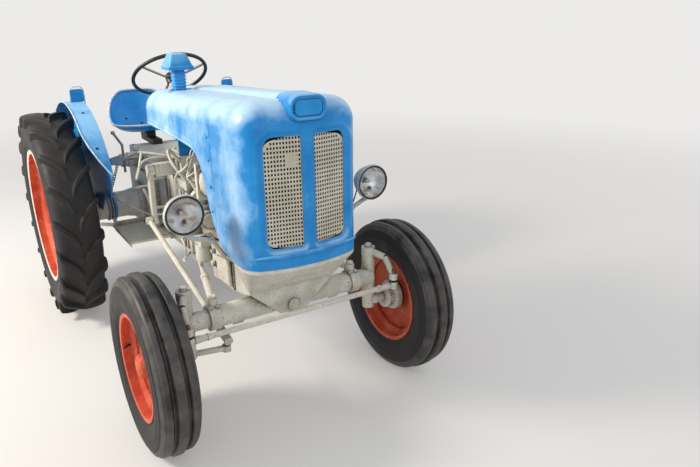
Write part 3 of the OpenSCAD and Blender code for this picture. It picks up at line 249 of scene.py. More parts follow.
class Piece:
    """One visible piece: forms in millimetres, each with its finish, gathered in one mesh."""

    def __init__(self, name, slot, body="tractor"):
        self.name, self.slot, self.body = name, slot, body
        self.bm = bmesh.new()
        self.finishes = []

    def add(self, form, finish=None, both=False, place=None):
        """Takes in a form, in the slot's own finish if none is named. With both, its mirror image as well."""
        finish = finish or self.slot
        if place:
            bmesh.ops.transform(form, matrix=place, verts=form.verts)
        if finish not in self.finishes:
            self.finishes.append(finish)
        index = self.finishes.index(finish)
        for face in form.faces:
            face.material_index = index
        mesh = bpy.data.meshes.new("form")
        form.to_mesh(mesh)
        self.bm.from_mesh(mesh)
        if both:
            bmesh.ops.transform(form, matrix=MIRROR_X, verts=form.verts)
            bmesh.ops.reverse_faces(form, faces=form.faces)
            form.to_mesh(mesh)
            self.bm.from_mesh(mesh)
        form.free()
        bpy.data.meshes.remove(mesh)

    def done(self, *replaces, wall=0.0, sharp=38.0):
        """Makes the object, rides it on its body and hides the solids that it stands for."""
        bmesh.ops.transform(self.bm, matrix=TO_FRAME, verts=self.bm.verts)
        mesh = bpy.data.meshes.new(self.name)
        self.bm.to_mesh(mesh)
        self.bm.free()
        for finish in self.finishes:
            mesh.materials.append(finish_named(finish))
        mesh.shade_smooth()
        mesh.set_sharp_from_angle(angle=math.radians(sharp))
        obj = bpy.data.objects.new(self.name, mesh)
        bpy.context.scene.collection.objects.link(obj)
        if wall:
            sheet = obj.modifiers.new("wall", "SOLIDIFY")
            sheet.thickness, sheet.offset, sheet.use_even_offset = wall * MM, -1, True
        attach(obj, self.body)
        if replaces:
            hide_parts(*replaces)


# Finishes


def colour(value):
    """An sRGB hex colour, or a linear one from the settings, as linear red, green, blue and alpha."""
    if not isinstance(value, str):
        return (*value, 1.0)
    shares = [int(value[i:i + 2], 16) / 255 for i in (1, 3, 5)]
    return (*[s / 12.92 if s <= 0.04045 else ((s + 0.055) / 1.055) ** 2.4 for s in shares], 1.0)


def feed(tree, node, links):
    """Gives a node's sockets their values and links."""
    for socket, value in links.items():
        if isinstance(value, bpy.types.NodeSocket):
            tree.links.new(value, node.inputs[socket])
        else:
            node.inputs[socket].default_value = value


def add_node(tree, kind, links, out=0, **settings):
    """Adds a node with its settings, its values and its links, and gives one of its outputs."""
    made = tree.nodes.new("ShaderNode" + kind)
    for key, value in settings.items():
        setattr(made, key, value)
    feed(tree, made, links)
    return made.outputs[out]


def finish_named(name):
    """The tractor's own material, apart from the solids' plain ones of the same name."""
    return bpy.data.materials["tractor_" + name]


def backdrop_rays(add):
    """Share 1 for the rays that show the plain backdrop: straight from the camera, off metal or through glass."""
    path = add("LightPath", {}).node.outputs
    share = add("Math", {0: path["Is Camera Ray"], 1: path["Is Glossy Ray"]}, operation="ADD", use_clamp=True)
    return add("Math", {0: share, 1: path["Is Transmission Ray"]}, operation="ADD", use_clamp=True)


def new_finish(name):
    """An empty material: how to add its nodes, how to feed its shader, and its object coordinates."""
    material = bpy.data.materials.new("tractor_" + name)
    material.use_nodes = True
    tree = material.node_tree
    add = functools.partial(add_node, tree)
    return add, functools.partial(feed, tree, tree.nodes["Principled BSDF"]), add("TexCoord", {}, "Object")


# Sizes of rust chips in paint, of rust patches and grain on iron, of rubber's grain, of rubbed spots on plastic and of
# a lamp glass's flutes, and the dull shine of old paint and rubber
CHIP_MM, RUST_MM, IRON_GRAIN_MM, RUBBER_GRAIN_MM, RUBBED_MM, FLUTE_MM = 7, 25, 2.0, 2.5, 30, 6
DULL_SHINE = 0.35
# Distances between which the floor takes the backdrop's colour
FADE_FROM_M, FADE_TO_M = 2.0, 9.0


def enamel(name, base, pale, grime_and_shade, rust, painted_glare=None, side=0.0, patch_mm=110, chips=0.62, grime_and_shade_amount=0.6, grime_and_shade_mm=40,
           rough=0.38, grain_mm=1.6, dent=0.35):
    """Old paint on metal: cloudy fading, painted shade with grime in its hollows, rusty chips, painted sun glare where
    a glare colour is given, and a slightly uneven skin.
    """
    add, dress, place = new_finish(name)
    clouds = add("TexNoise", {"Vector": place, "Scale": 1000 / patch_mm, "Detail": 5.0, "Roughness": 0.6})
    specks = add("TexNoise", {"Vector": place, "Scale": 1000 / CHIP_MM, "Detail": 6.0, "Roughness": 0.7})
    smears = add("TexNoise", {"Vector": place, "Scale": 1000 / (patch_mm * 0.3), "Detail": 4.0, "Distortion": 0.6})
    share = add("MapRange", {"Value": clouds, 1: 0.36, 2: 0.66})
    skin = add("Mix", {0: share, 6: colour(base), 7: colour(pale)}, 2, data_type="RGBA")
    if painted_glare:
        # Painted sun glare: paler where it faces up, and with side above 0 also where it faces sideways
        faces = add("SeparateXYZ", {0: add("NewGeometry", {}, "Normal")}).node.outputs
        sideways = add("Math", {0: faces[0], 1: faces[0]}, operation="MULTIPLY")
        glare_facing = add("Math", {0: sideways, 1: side, 2: faces[2]}, operation="MULTIPLY_ADD")
        cloudy = add("Math", {0: share, 1: 0.5}, operation="MULTIPLY")
        glare_share = add("MapRange", {"Value": add("Math", {0: glare_facing, 1: cloudy}, operation="ADD"), 1: 0.5, 2: 1.2, 4: 0.85})
        skin = add("Mix", {0: glare_share, 6: skin, 7: colour(painted_glare)}, 2, data_type="RGBA")
    # Painted shade with grime: darker towards the second colour in hollows and corners, in uneven patches
    closed = add("AmbientOcclusion", {"Distance": grime_and_shade_mm * MM}, "AO", samples=6, inside=False)
    uneven = add("Math", {0: smears, 1: 0.55}, operation="MULTIPLY")
    hollow_mask = add("MapRange", {"Value": add("Math", {0: closed, 1: uneven}, operation="ADD"), 1: 1.12, 2: 0.55, 4: grime_and_shade_amount})
    skin = add("Mix", {0: hollow_mask, 6: skin, 7: colour(grime_and_shade)}, 2, data_type="RGBA")
    low_chip = add("Math", {0: clouds, 1: 0.25}, operation="MULTIPLY")
    chip = add("Math", {0: specks, 1: low_chip}, operation="ADD")
    chip = add("MapRange", {"Value": chip, 1: chips + 0.12, 2: chips + 0.16})
    skin = add("Mix", {0: chip, 6: skin, 7: colour(rust)}, 2, data_type="RGBA")
    dull = add("MapRange", {"Value": smears, 1: 0.3, 2: 0.7, 3: rough - 0.07, 4: rough + 0.12})
    dull = add("Mix", {0: chip, 2: dull, 3: 0.85})
    grain = add("TexNoise", {"Vector": place, "Scale": 1000 / grain_mm, "Detail": 3.0})
    height = add("Math", {0: chip, 1: -0.6, 2: grain}, operation="MULTIPLY_ADD")
    height = add("Math", {0: clouds, 1: dent * 12, 2: height}, operation="MULTIPLY_ADD")
    bump = add("Bump", {"Height": height, "Strength": 0.35, "Distance": 0.0007})
    dress({"Base Color": skin, "Roughness": dull, "Normal": bump, "Specular IOR Level": DULL_SHINE})


def iron(name, dark, light, rust, share, metallic=0.6, rough=0.5):
    """Bare or oily metal with patches of rust."""
    add, dress, place = new_finish(name)
    patches = add("TexNoise", {"Vector": place, "Scale": 1000 / RUST_MM, "Detail": 6.0, "Roughness": 0.65})
    grain = add("TexNoise", {"Vector": place, "Scale": 1000 / IRON_GRAIN_MM, "Detail": 3.0})
    skin = add("Mix", {0: grain, 6: colour(dark), 7: colour(light)}, 2, data_type="RGBA")
    rusty = add("MapRange", {"Value": patches, 1: 1 - share, 2: 1.12 - share})
    skin = add("Mix", {0: rusty, 6: skin, 7: colour(rust)}, 2, data_type="RGBA")
    metal = add("MapRange", {"Value": rusty, 3: metallic, 4: 0.0})
    dull = add("MapRange", {"Value": rusty, 3: rough, 4: 0.9})
    bump = add("Bump", {"Height": grain, "Strength": 0.5, "Distance": 0.0006})
    dress({"Base Color": skin, "Metallic": metal, "Roughness": dull, "Normal": bump})


def rubber(name, dark, worn, dust_and_shade, dust_and_shade_amount, rough, patch_mm, dust_and_shade_mm):
    """Weathered tyre rubber: greyed by the sun, with another colour in its hollows, which is dry dust on the sidewalls
    and painted shade in the front treads.
    """
    add, dress, place = new_finish(name)
    clouds = add("TexNoise", {"Vector": place, "Scale": 1000 / patch_mm, "Detail": 6.0, "Roughness": 0.62})
    grain = add("TexNoise", {"Vector": place, "Scale": 1000 / RUBBER_GRAIN_MM, "Detail": 4.0})
    share = add("MapRange", {"Value": clouds, 1: 0.35, 2: 0.7})
    skin = add("Mix", {0: share, 6: colour(dark), 7: colour(worn)}, 2, data_type="RGBA")
    # Hollows take the second colour: pale dust on the sidewalls and lugs, painted shade in the grooves of the front
    # treads
    closed = add("AmbientOcclusion", {"Distance": dust_and_shade_mm * MM}, "AO", samples=6, inside=False)
    loose = add("Math", {0: clouds, 1: 0.8}, operation="MULTIPLY")
    hollow_mask = add("MapRange", {"Value": add("Math", {0: closed, 1: loose}, operation="ADD"), 1: 1.3, 2: 0.7, 4: dust_and_shade_amount})
    skin = add("Mix", {0: hollow_mask, 6: skin, 7: colour(dust_and_shade)}, 2, data_type="RGBA")
    dull = add("MapRange", {"Value": clouds, 1: 0.3, 2: 0.7, 3: rough - 0.15, 4: rough + 0.12})
    height = add("Math", {0: clouds, 1: 3.0, 2: grain}, operation="MULTIPLY_ADD")
    bump = add("Bump", {"Height": height, "Strength": 0.5, "Distance": 0.0008})
    dress({"Base Color": skin, "Roughness": dull, "Normal": bump, "Specular IOR Level": DULL_SHINE})


def reflector(name):
    """Silvered bowl of a lamp, browned by damp."""
    add, dress, place = new_finish(name)
    stain = add("TexNoise", {"Vector": place, "Scale": 1000 / 70, "Detail": 5.0, "Distortion": 1.2})
    share = add("MapRange", {"Value": stain, 1: 0.46, 2: 0.62})
    skin = add("Mix", {0: share, 6: colour("#FBFBFC"), 7: colour("#CF9A48")}, 2, data_type="RGBA")
    dull = add("MapRange", {"Value": share, 3: 0.28, 4: 0.55})
    dress({"Base Color": skin, "Roughness": dull, "Metallic": 0.5})


def lamp_glass(name):
    """Clear pressed glass with faint upright flutes."""
    add, dress, place = new_finish(name)
    flutes = add("TexWave", {"Vector": place, "Scale": 1000 / FLUTE_MM / 6.28, "Distortion": 0.0}, "Fac",
                 bands_direction="X")
    dress({"Normal": add("Bump", {"Height": flutes, "Strength": 0.12, "Distance": 0.0006}),
           "Base Color": colour("#F2F6F8"), "Roughness": 0.03, "IOR": 1.5, "Transmission Weight": 1.0})


def plastic(name, dark, worn, rough=0.35):
    """Hard moulded rim or knob, greyed where hands rub it."""
    add, dress, place = new_finish(name)
    clouds = add("TexNoise", {"Vector": place, "Scale": 1000 / RUBBED_MM, "Detail": 5.0})
    share = add("MapRange", {"Value": clouds, 1: 0.45, 2: 0.75})
    dress({"Base Color": add("Mix", {0: share, 6: colour(dark), 7: colour(worn)}, 2, data_type="RGBA"),
           "Roughness": add("MapRange", {"Value": clouds, 3: rough - 0.1, 4: rough + 0.2})})


def studio_floor(name):
    """Pale matt floor, which takes the plain colour of the backdrop far from the tractor."""
    add, dress, place = new_finish(name)
    tree = place.id_data
    clouds = add("TexNoise", {"Vector": place, "Scale": 0.6, "Detail": 2.0})
    dress({"Base Color": add("Mix", {0: clouds, 6: colour("#DEDCD9"), 7: colour("#E4E2DF")}, 2, data_type="RGBA"),
           "Roughness": 0.9})
    away = add("VectorMath", {0: place}, "Value", operation="LENGTH")
    away = add("MapRange", {"Value": away, 1: FADE_FROM_M, 2: FADE_TO_M, 3: 0.25}, interpolation_type="SMOOTHSTEP")
    share = add("Math", {0: away, 1: backdrop_rays(add)}, operation="MULTIPLY")
    plain = add("Emission", {"Color": colour(BACKDROP), "Strength": 1.0})
    mixed = add("MixShader", {0: share, 1: tree.nodes["Principled BSDF"].outputs[0], 2: plain})
    feed(tree, tree.nodes["Material Output"], {"Surface": mixed})


# Darker blue in the hollows of the hood's blue, which is painted shade with grime, and its rust
BLUE_SHADE_AND_RUST = ("#155280", "#6B4A38")


def make_finishes(paints):
    """Makes every material of the tractor."""
    blues = paints.blue, paints.blue_pale
    # Blue enamel on pressed steel, with painted sun glare where it faces up
    enamel("blue_enamel", *blues, *BLUE_SHADE_AND_RUST, painted_glare="#8FC6EC", chips=0.70, grime_and_shade_amount=0.5, patch_mm=150, dent=0.6,
           rough=0.34)
    # The hood's enamel, with painted sun glare along its sides as well as on its top
    enamel("hood_enamel", *blues, *BLUE_SHADE_AND_RUST, painted_glare="#BFDDF0", side=0.56, chips=0.72, grime_and_shade_amount=0.5, patch_mm=170,
           dent=0.6, rough=0.34)
    # The same enamel inside the seat pan, in a brighter blue, with painted sun glare where it faces up
    enamel("seat_blue", "#1390DA", "#34A2E2", "#155280", "#4A4038", painted_glare="#3C9ADB", chips=0.68, grime_and_shade_amount=0.4, patch_mm=90)
    # Trim bar, brushed over with the hood's blue, with painted sun glare where it faces up
    enamel("trim_blue", *blues, *BLUE_SHADE_AND_RUST, painted_glare="#7FBBE4", chips=0.68, grime_and_shade_amount=0.4, patch_mm=60)
    # Rolled sheet edges rubbed through the blue to a pale primer
    enamel("worn_edge", "#8FB9D8", "#D3DDE2", "#5B7E98", "#7A5A42", chips=0.60, grime_and_shade_amount=0.35, patch_mm=45, rough=0.5)
    # Cream enamel brushed over iron castings: oily grime and painted shade in the corners, rust where it chipped
    enamel("cream_enamel", paints.cream, paints.cream_pale, "#453B2A", "#6E4426", grime_and_shade_amount=1.0, patch_mm=60, grime_and_shade_mm=75,
           rough=0.42, grain_mm=3.0, dent=0.5)
    # Thin cream paint of the perforated grille, on stamped steel sheet
    enamel("grille_cream", "#BDB7A3", "#D6D1C1", "#7C6E52", "#7A5A38", chips=0.66, grime_and_shade_amount=0.3, patch_mm=90, rough=0.5)
    # Grey enamel on the drawn shells of the lamps
    enamel("shell_grey", "#A9ADAB", "#C3C8C8", "#6C6A60", "#7A4A2B", grime_and_shade_amount=0.5)
    # Orange red enamel of the pressed wheels, faded and chipped
    enamel("rim_enamel", paints.red, "#D0603F", "#4E241A", "#B9B2A4", patch_mm=80, rough=0.45)
    # Cream enamel on the outer lip of the rear rims
    enamel("lip_enamel", "#C4BEAF", "#DAD6CC", "#857A66", "#A8412B", chips=0.58, grime_and_shade_amount=0.5, patch_mm=60)
    # Old cast iron with oil and rust
    iron("dark_iron", "#2B2723", "#46403A", "#5A3A27", share=0.45)
    # Sooty copper and brass of the radiator core, and other things that stay in the dark
    iron("core_black", "#0B0B0C", "#161615", "#1E1A16", share=0.3, metallic=0.0, rough=0.8)
    # Dark blue line in a pressed groove: painted shade
    iron("seam_shade", "#12334A", "#1B4562", "#2A2A26", share=0.4, metallic=0.0, rough=0.8)
    # Drawn and turned steel worn bare by use
    iron("bare_steel", "#8A8782", "#A6A39C", "#6B4630", share=0.35, metallic=0.85, rough=0.38)
    # Rust scale on forged steel
    iron("rusty_iron", "#5B3420", "#7A4A2C", "#8E5A33", share=0.6, metallic=0.1, rough=0.8)
    # Chromium plated ring of the lamps, dulled
    iron("lamp_chrome", "#B4B6B8", "#D5D7D8", "#8D8277", share=0.3, metallic=0.95, rough=0.2)
    # Black rubber ring between ring and glass
    plastic("lamp_seal", "#141414", "#2A2C2E", rough=0.45)
    # Moulded tread rubber of the front tyres, rubbed grey by the road, with painted shade near black in its grooves
    rubber("tyre_front", "#2B2A2B", "#5F5B57", "#0D0C0D", dust_and_shade_amount=0.95, rough=0.55, patch_mm=90, dust_and_shade_mm=30)
    # Moulded rubber of sidewalls and lugs, nearly black with a brown bloom
    rubber("tyre_side", paints.rubber, "#2C2B2E", "#5C5347", dust_and_shade_amount=0.6, rough=0.62, patch_mm=80, dust_and_shade_mm=60)
    # Hard black plastic of the steering wheel's rim and hub
    plastic("wheel_plastic", "#101113", "#2C2F33")
    # Silvered steel of the lamps' bowls, and their clear pressed glass
    reflector("lamp_silver")
    lamp_glass("lamp_glass")
    # Frosted glass of the bulb
    plastic("bulb_glass", "#C9C2AE", "#E6E2D6", rough=0.3)
    studio_floor("pale_floor")


# Which finish each solid takes that no piece stands for
NODE_FINISHES = {
    "blue_enamel": ("instrument_panel", "fenders"),
    "dark_iron": ("dynamo", "seat_support", "exhaust", "drawbar"),
    "core_black": ("radiator",),
    "bare_steel": ("levers",),
    "grille_cream": ("grille",),
    "rim_enamel": ("front_rim_right", "front_rim_left"),
}


def dress_solids():
    """Gives each solid its finish, cream where no other is named."""
    special = {node: finish for finish, nodes in NODE_FINISHES.items() for node in nodes}
    for name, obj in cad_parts.items():
        obj.data.materials.clear()
        obj.data.materials.append(finish_named(special.get(name, "cream_enamel")))


# Hood, as the solids have it: nose arc, round edges, length, heights and the cut along its lower side edge
NOSE_ARC_R, HOOD_ROUND, HOOD_HALF, HOOD_NOSE, HOOD_REAR, HOOD_LOW = 600, 95, 253, 252, 955, 742
ARC_Y = NOSE_ARC_R - HOOD_NOSE
SKELETON_R = NOSE_ARC_R - HOOD_ROUND
CORNER_X = HOOD_HALF - HOOD_ROUND
CORNER_TURN = math.asin(CORNER_X / SKELETON_R)
CORNER_Y = ARC_Y - SKELETON_R * math.cos(CORNER_TURN)
ROUND_FRONT_Z, ROUND_REAR_Z = 1280, 1227
SIDE_EDGE = ((-110, 742), (-40, 748), (36, 768), (99, 823), (148, 906), (185, 992), (214, 1063), (250, 1107),
             (292, 1130), (344, 1141), (1015, 1162))
# Grille opening on one side: low and high corner in X and Z, then the radii of its corners
OPENING_LOW, OPENING_HIGH = (28, 822), (176, 1252)
OPENING_RADII = {(1, 1): 44, (1, -1): 34, (-1, 1): 14, (-1, -1): 14}
# Size of the sheet's cells on the nose, place of the seam, and depths: of the seam's groove, of the recess round the
# openings with the bead on its outer edge, of the flange turned into the openings, and of the band along the edge
NOSE_CELL, SEAM_Y = 4.2, 100
SEAM_DEEP, RECESS_DEEP, RECESS_BEAD, FLANGE_DEEP, BAND_HIGH, BAND_STEP = 2.2, 11.0, 1.8, 6, 3.2, 2.2
# Columns of the sheet: where the straight rear part begins, then how many on it, on the side, the corner and the nose
REAR_PART_Y, REAR_COLUMNS, SIDE_COLUMNS, CORNER_COLUMNS, NOSE_COLUMNS = 344, 16, 52, 26, 46
# Rows of the sheet: distances from its lower edge, then how many on the wall, the upper round and the top
FOOT_ROWS, WALL_ROWS, ROUND_ROWS, TOP_ROWS = (0, 2, 5, 9, 14, 22, 27, 31, 36), 120, 10, 9


def round_z(y):
    """Height of the middle of the hood's upper round edge."""
    share = max(0.0, (y - CORNER_Y) / (HOOD_REAR - CORNER_Y))
    return ROUND_FRONT_Z + (ROUND_REAR_Z - ROUND_FRONT_Z) * share


def from_opening(x, z):
    """Distance of a place on the nose from the edge of the grille opening, negative inside it."""
    middle = [(a + b) / 2 for a, b in zip(OPENING_LOW, OPENING_HIGH)]
    half = [(b - a) / 2 for a, b in zip(OPENING_LOW, OPENING_HIGH)]
    r = OPENING_RADII[1 if x > middle[0] else -1, 1 if z > middle[1] else -1]
    qx, qz = abs(x - middle[0]) - half[0] + r, abs(z - middle[1]) - half[1] + r
    return math.hypot(max(qx, 0), max(qz, 0)) + min(max(qx, qz), 0) - r


def on_nose(x):
    """Place along Y and outward direction of the nose's wall, at a place across it."""
    if abs(x) <= NOSE_ARC_R * math.sin(CORNER_TURN):
        turn = math.asin(x / NOSE_ARC_R)
        return ARC_Y - NOSE_ARC_R * math.cos(turn), (math.sin(turn), -math.cos(turn))
    share = min(1.0, (abs(x) - CORNER_X) / HOOD_ROUND)
    side = math.copysign(share, x)
    return CORNER_Y - HOOD_ROUND * math.sqrt(1 - share * share), (side, -math.sqrt(1 - share * share))


def hood_columns():
    """Upright lines of the hood's left half, from its rear edge to the middle of the nose: foot and direction."""
    back = [HOOD_REAR + (REAR_PART_Y - HOOD_REAR) * i / REAR_COLUMNS for i in range(REAR_COLUMNS)]
    front = [REAR_PART_Y + (CORNER_Y - REAR_PART_Y) * i / SIDE_COLUMNS for i in range(SIDE_COLUMNS)]
    front = [y for y in front if abs(y - SEAM_Y) > 6] + [SEAM_Y + step for step in (5, 2, -2, -5)]
    columns = [((CORNER_X, y), (1.0, 0.0)) for y in back + sorted(front, reverse=True)]
    for i in range(CORNER_COLUMNS):
        turn = math.pi / 2 + (CORNER_TURN - math.pi / 2) * i / CORNER_COLUMNS
        columns.append(((CORNER_X, CORNER_Y), (math.sin(turn), -math.cos(turn))))
    for i in range(NOSE_COLUMNS):
        turn = CORNER_TURN * (1 - i / (NOSE_COLUMNS - 1))
        columns.append(((SKELETON_R * math.sin(turn), ARC_Y - SKELETON_R * math.cos(turn)),
                        (math.sin(turn), -math.cos(turn))))
    return columns


def onto_rim(x, z, gap):
    """A place close to the edge of the grille opening, moved onto that edge."""
    step = 0.5
    gx = (from_opening(x + step, z) - from_opening(x - step, z)) / (2 * step)
    gz = (from_opening(x, z + step) - from_opening(x, z - step)) / (2 * step)
    return x - gap * gx, z - gap * gz


def hood_sheet():
    """The pressed sheet of the hood, with its grille openings, edge band and seam."""
    columns = hood_columns()
    foot = len(FOOT_ROWS)
    wall_end, round_end = foot + WALL_ROWS, foot + WALL_ROWS + ROUND_ROWS
    rows = round_end + TOP_ROWS
    cut, rim = [], set()
    bm = bmesh.new()
    bmesh.ops.create_grid(bm, x_segments=len(columns) - 1, y_segments=rows - 1, size=0.5)
    for vert in bm.verts:
        (foot_x, y), (nx, ny) = columns[round((vert.co.x + 0.5) * (len(columns) - 1))]
        j = round((vert.co.y + 0.5) * (rows - 1))
        on_side = y > CORNER_Y + 1
        edge, steep, band, high, proud = HOOD_LOW, 1, 0.0, round_z(y), 0.0
        if on_side:
            edge, band = read_curve(SIDE_EDGE, y), blend_step(-125, -60, y)
            steep = min(2.2, math.hypot(1, (read_curve(SIDE_EDGE, y + 4) - read_curve(SIDE_EDGE, y - 4)) / 8))
        if j < wall_end:
            from_edge = FOOT_ROWS[min(j, foot - 1)]
            z = edge + from_edge * steep
            if j >= foot:
                z += (high - z) * (j - foot + 1) / WALL_ROWS
                from_edge = HOOD_LOW
            proud += band * (BAND_HIGH - BAND_STEP * blend_step(5, 10, from_edge)) * (
                1 - blend_step(22, 33, from_edge))
            x, depth_y = foot_x + HOOD_ROUND * nx, y + HOOD_ROUND * ny
            if not on_side:
                gap = from_opening(x, z)
                if abs(gap) < 0.6 * NOSE_CELL:
                    x, z = onto_rim(x, z, gap)
                    depth_y, (nx, ny) = on_nose(x)
                    gap = 0.0
                    rim.add(vert)
                elif gap < 0:
                    cut.append(vert)
                proud -= RECESS_DEEP * (1 - blend_step(4, 23, gap))
                proud += RECESS_BEAD * blend_step(14, 24, gap) * (1 - blend_step(24, 40, gap))
            point, out = Vector((x, depth_y, z)), Vector((nx, ny, 0))
        elif j < round_end:
            tilt = (j - wall_end + 1) / ROUND_ROWS * math.pi / 2
            out = Vector((nx * math.cos(tilt), ny * math.cos(tilt), math.sin(tilt)))
            point = Vector((foot_x, y, high)) + out * HOOD_ROUND
        else:
            share = (j - round_end + 1) / TOP_ROWS
            point, out = Vector((foot_x * (1 - share), y, high + HOOD_ROUND)), Vector((0, 0, 1))
        if on_side and abs(y - SEAM_Y) < 3:
            proud -= SEAM_DEEP
        # Hammered out dents, none at the very edge and in the grooves
        wave = noise.noise(point / 170) * 1.1 + noise.noise(point / 60 + Vector((9, 4, 2))) * 0.4
        vert.co = point + out * (proud + wave * (0.0 if j < 3 or proud < -1 else 1.0))
    bmesh.ops.delete(bm, geom=cut, context="VERTS")
    edges = [e for e in bm.edges if e.is_boundary and e.verts[0] in rim and e.verts[1] in rim]
    made = bmesh.ops.extrude_edge_only(bm, edges=edges)["geom"]
    for vert in [g for g in made if isinstance(g, bmesh.types.BMVert)]:
        out = on_nose(vert.co.x)[1]
        vert.co -= Vector((out[0], out[1], 0)) * FLANGE_DEEP
    bmesh.ops.remove_doubles(bm, verts=bm.verts, dist=0.02)
    for vert in bm.verts:
        if abs(vert.co.x) < 0.5:
            vert.co.x = 0.0
    bmesh.ops.mirror(bm, geom=bm.verts[:] + bm.edges[:] + bm.faces[:], matrix=Matrix.Identity(4), merge_dist=0.05,
                     axis="X")
    bmesh.ops.remove_doubles(bm, verts=bm.verts, dist=0.05)
    return facing_up(bm, max)


def facing_up(bm, extreme):
    """An open sheet with one way out: up on its highest face with max, or on its lowest with min."""
    bmesh.ops.recalc_face_normals(bm, faces=bm.faces)
    if extreme(bm.faces, key=lambda f: f.calc_center_median().z).normal.z < 0:
        bmesh.ops.reverse_faces(bm, faces=bm.faces)
    return bm


def closed_strip(columns, outline):
    """A closed bar: outline(share) gives the points of its section at each of the columns."""
    sides = len(outline(0.0))
    bm = bmesh.new()
    bmesh.ops.create_grid(bm, x_segments=columns, y_segments=sides, size=0.5)
    for vert in bm.verts:
        vert.co = Vector(outline(vert.co.x + 0.5)[round((vert.co.y + 0.5) * sides) % sides])
    bmesh.ops.remove_doubles(bm, verts=bm.verts, dist=0.01)
    bmesh.ops.holes_fill(bm, edges=[e for e in bm.edges if e.is_boundary], sides=0)
    return settled(bm)


POD_FRONT, POD_DEEP, POD_Z, POD_HALF_W, POD_HALF_H, POD_ROUND = -257, 118, 1352, 77, 48, 40
# Ridge: start and length, heights at front and rear, half width, and how much wider it is where it meets the pod
RIDGE_START, RIDGE_LONG, RIDGE_FRONT, RIDGE_REAR, RIDGE_HALF, RIDGE_FLARE = -172, HOOD_REAR + 168, 22, 8, 66, 12
TRIM_HALF, TRIM_Z = 238, 793


def ridge_section(share):
    """Section of the ridge along the top of the hood, at a share of its length from the pod back."""
    y = RIDGE_START + share * RIDGE_LONG
    base = round_z(y) + HOOD_ROUND
    high = RIDGE_FRONT + (RIDGE_REAR - RIDGE_FRONT) * share
    wide = RIDGE_HALF + RIDGE_FLARE * (1 - blend_step(0.0, 0.28, share))
    form = ((-1.0, -5), (-1.0, 0), (-0.95, 0.07), (-0.87, 0.32), (-0.78, 0.66), (-0.69, 0.9), (-0.58, 1.0),
            (-0.3, 1.06), (0, 1.08), (0.3, 1.06), (0.58, 1.0), (0.69, 0.9), (0.78, 0.66), (0.87, 0.32),
            (0.95, 0.07), (1.0, 0), (1.0, -5))
    return [(a * wide, y, base + (b * high if b > 0 else b)) for a, b in form]


def pod_outline(grow):
    """Rounded outline of the pod, grown or shrunk."""
    points = []
    for x, z, start in ((1, -1, -90), (1, 1, 0), (-1, 1, 90), (-1, -1, 180)):
        for i in range(9):
            turn = math.radians(start + i * 11.25)
            points.append((x * (POD_HALF_W - POD_ROUND) + (POD_ROUND + grow) * math.cos(turn),
                           POD_Z + z * (POD_HALF_H - POD_ROUND) + (POD_ROUND + grow) * math.sin(turn)))
    return points


def build_hood(sizes):
    """The hood's sheet, its pod and ridge, the trim bar on the nose and the blank plate in the grille."""
    sheet = Piece("hood_sheet", "blue_enamel")
    sheet.add(hood_sheet(), "hood_enamel")
    sheet.done("hood", wall=sizes.hood_wall / MM, sharp=50)

    def bead(grow, y, r, sides):
        line = pod_outline(grow)
        return pipe([(x, y, z) for x, z in line + line[:1]], r, sides=sides, steps=1)

    pod = Piece("hood_pod", "blue_enamel")
    pod.add(closed_strip(60, ridge_section), "hood_enamel")
    pod.add(plate(pod_outline(0), POD_DEEP, front_at(POD_FRONT + POD_DEEP), 11, segments=5, caps_only=True))
    pod.add(bead(-7, POD_FRONT + 1, 5.5, 12))
    pod.add(plate(pod_outline(-20), 6, front_at(POD_FRONT + 4), 2.5, segments=3, caps_only=True))
    # Thin dark blue line round the inner plate: painted shade in the seam
    pod.add(bead(-18.5, POD_FRONT, 1.3, 6), "seam_shade")
    # Studs of the lifting eye on one side of the pod, and the bolts that hold the hood along its seam
    for z in (1338, 1350, 1362):
        pod.add(bolt((-62, POD_FRONT + 1, z), (-0.2, -1, 0), r=2.6, head=2.6), "dark_iron")
    for z in (905, 1010, 1120, 1215):
        pod.add(bolt((HOOD_HALF, SEAM_Y + 26, z), (1, 0, 0), r=5, head=3), both=True)
    pod.done(sharp=34)

    def trim_section(share):
        x = TRIM_HALF * (2 * share - 1)
        reach = min(1.0, (TRIM_HALF - abs(x)) / 78)
        half, deep = 0.4 + 10.6 * reach ** 0.75, 1 + 11 * reach ** 0.6
        turn = math.asin(x / NOSE_ARC_R)
        points = []
        for i in range(14):
            angle = math.tau * i / 14
            far = NOSE_ARC_R - 1 + deep * max(-0.1, math.cos(angle))
            points.append((far * math.sin(turn), ARC_Y - far * math.cos(turn), TRIM_Z + half * math.sin(angle)))
        return points

    trim = Piece("nose_trim", "blue_enamel")
    trim.add(closed_strip(64, trim_section), "trim_blue")
    trim.done("front_trim", sharp=45)
    blank = Piece("grille_patch", "cream_enamel")
    blank.add(block((-88, -1, 1133), (-42, 1, 1190), 0.6), "grille_cream",
              place=Matrix.Translation((0, ARC_Y - 583, 0)) @ Matrix.Rotation(math.radians(-7.5), 4, "Z"))
    blank.done()


INTAKE_X, INTAKE_Y = -130, 780


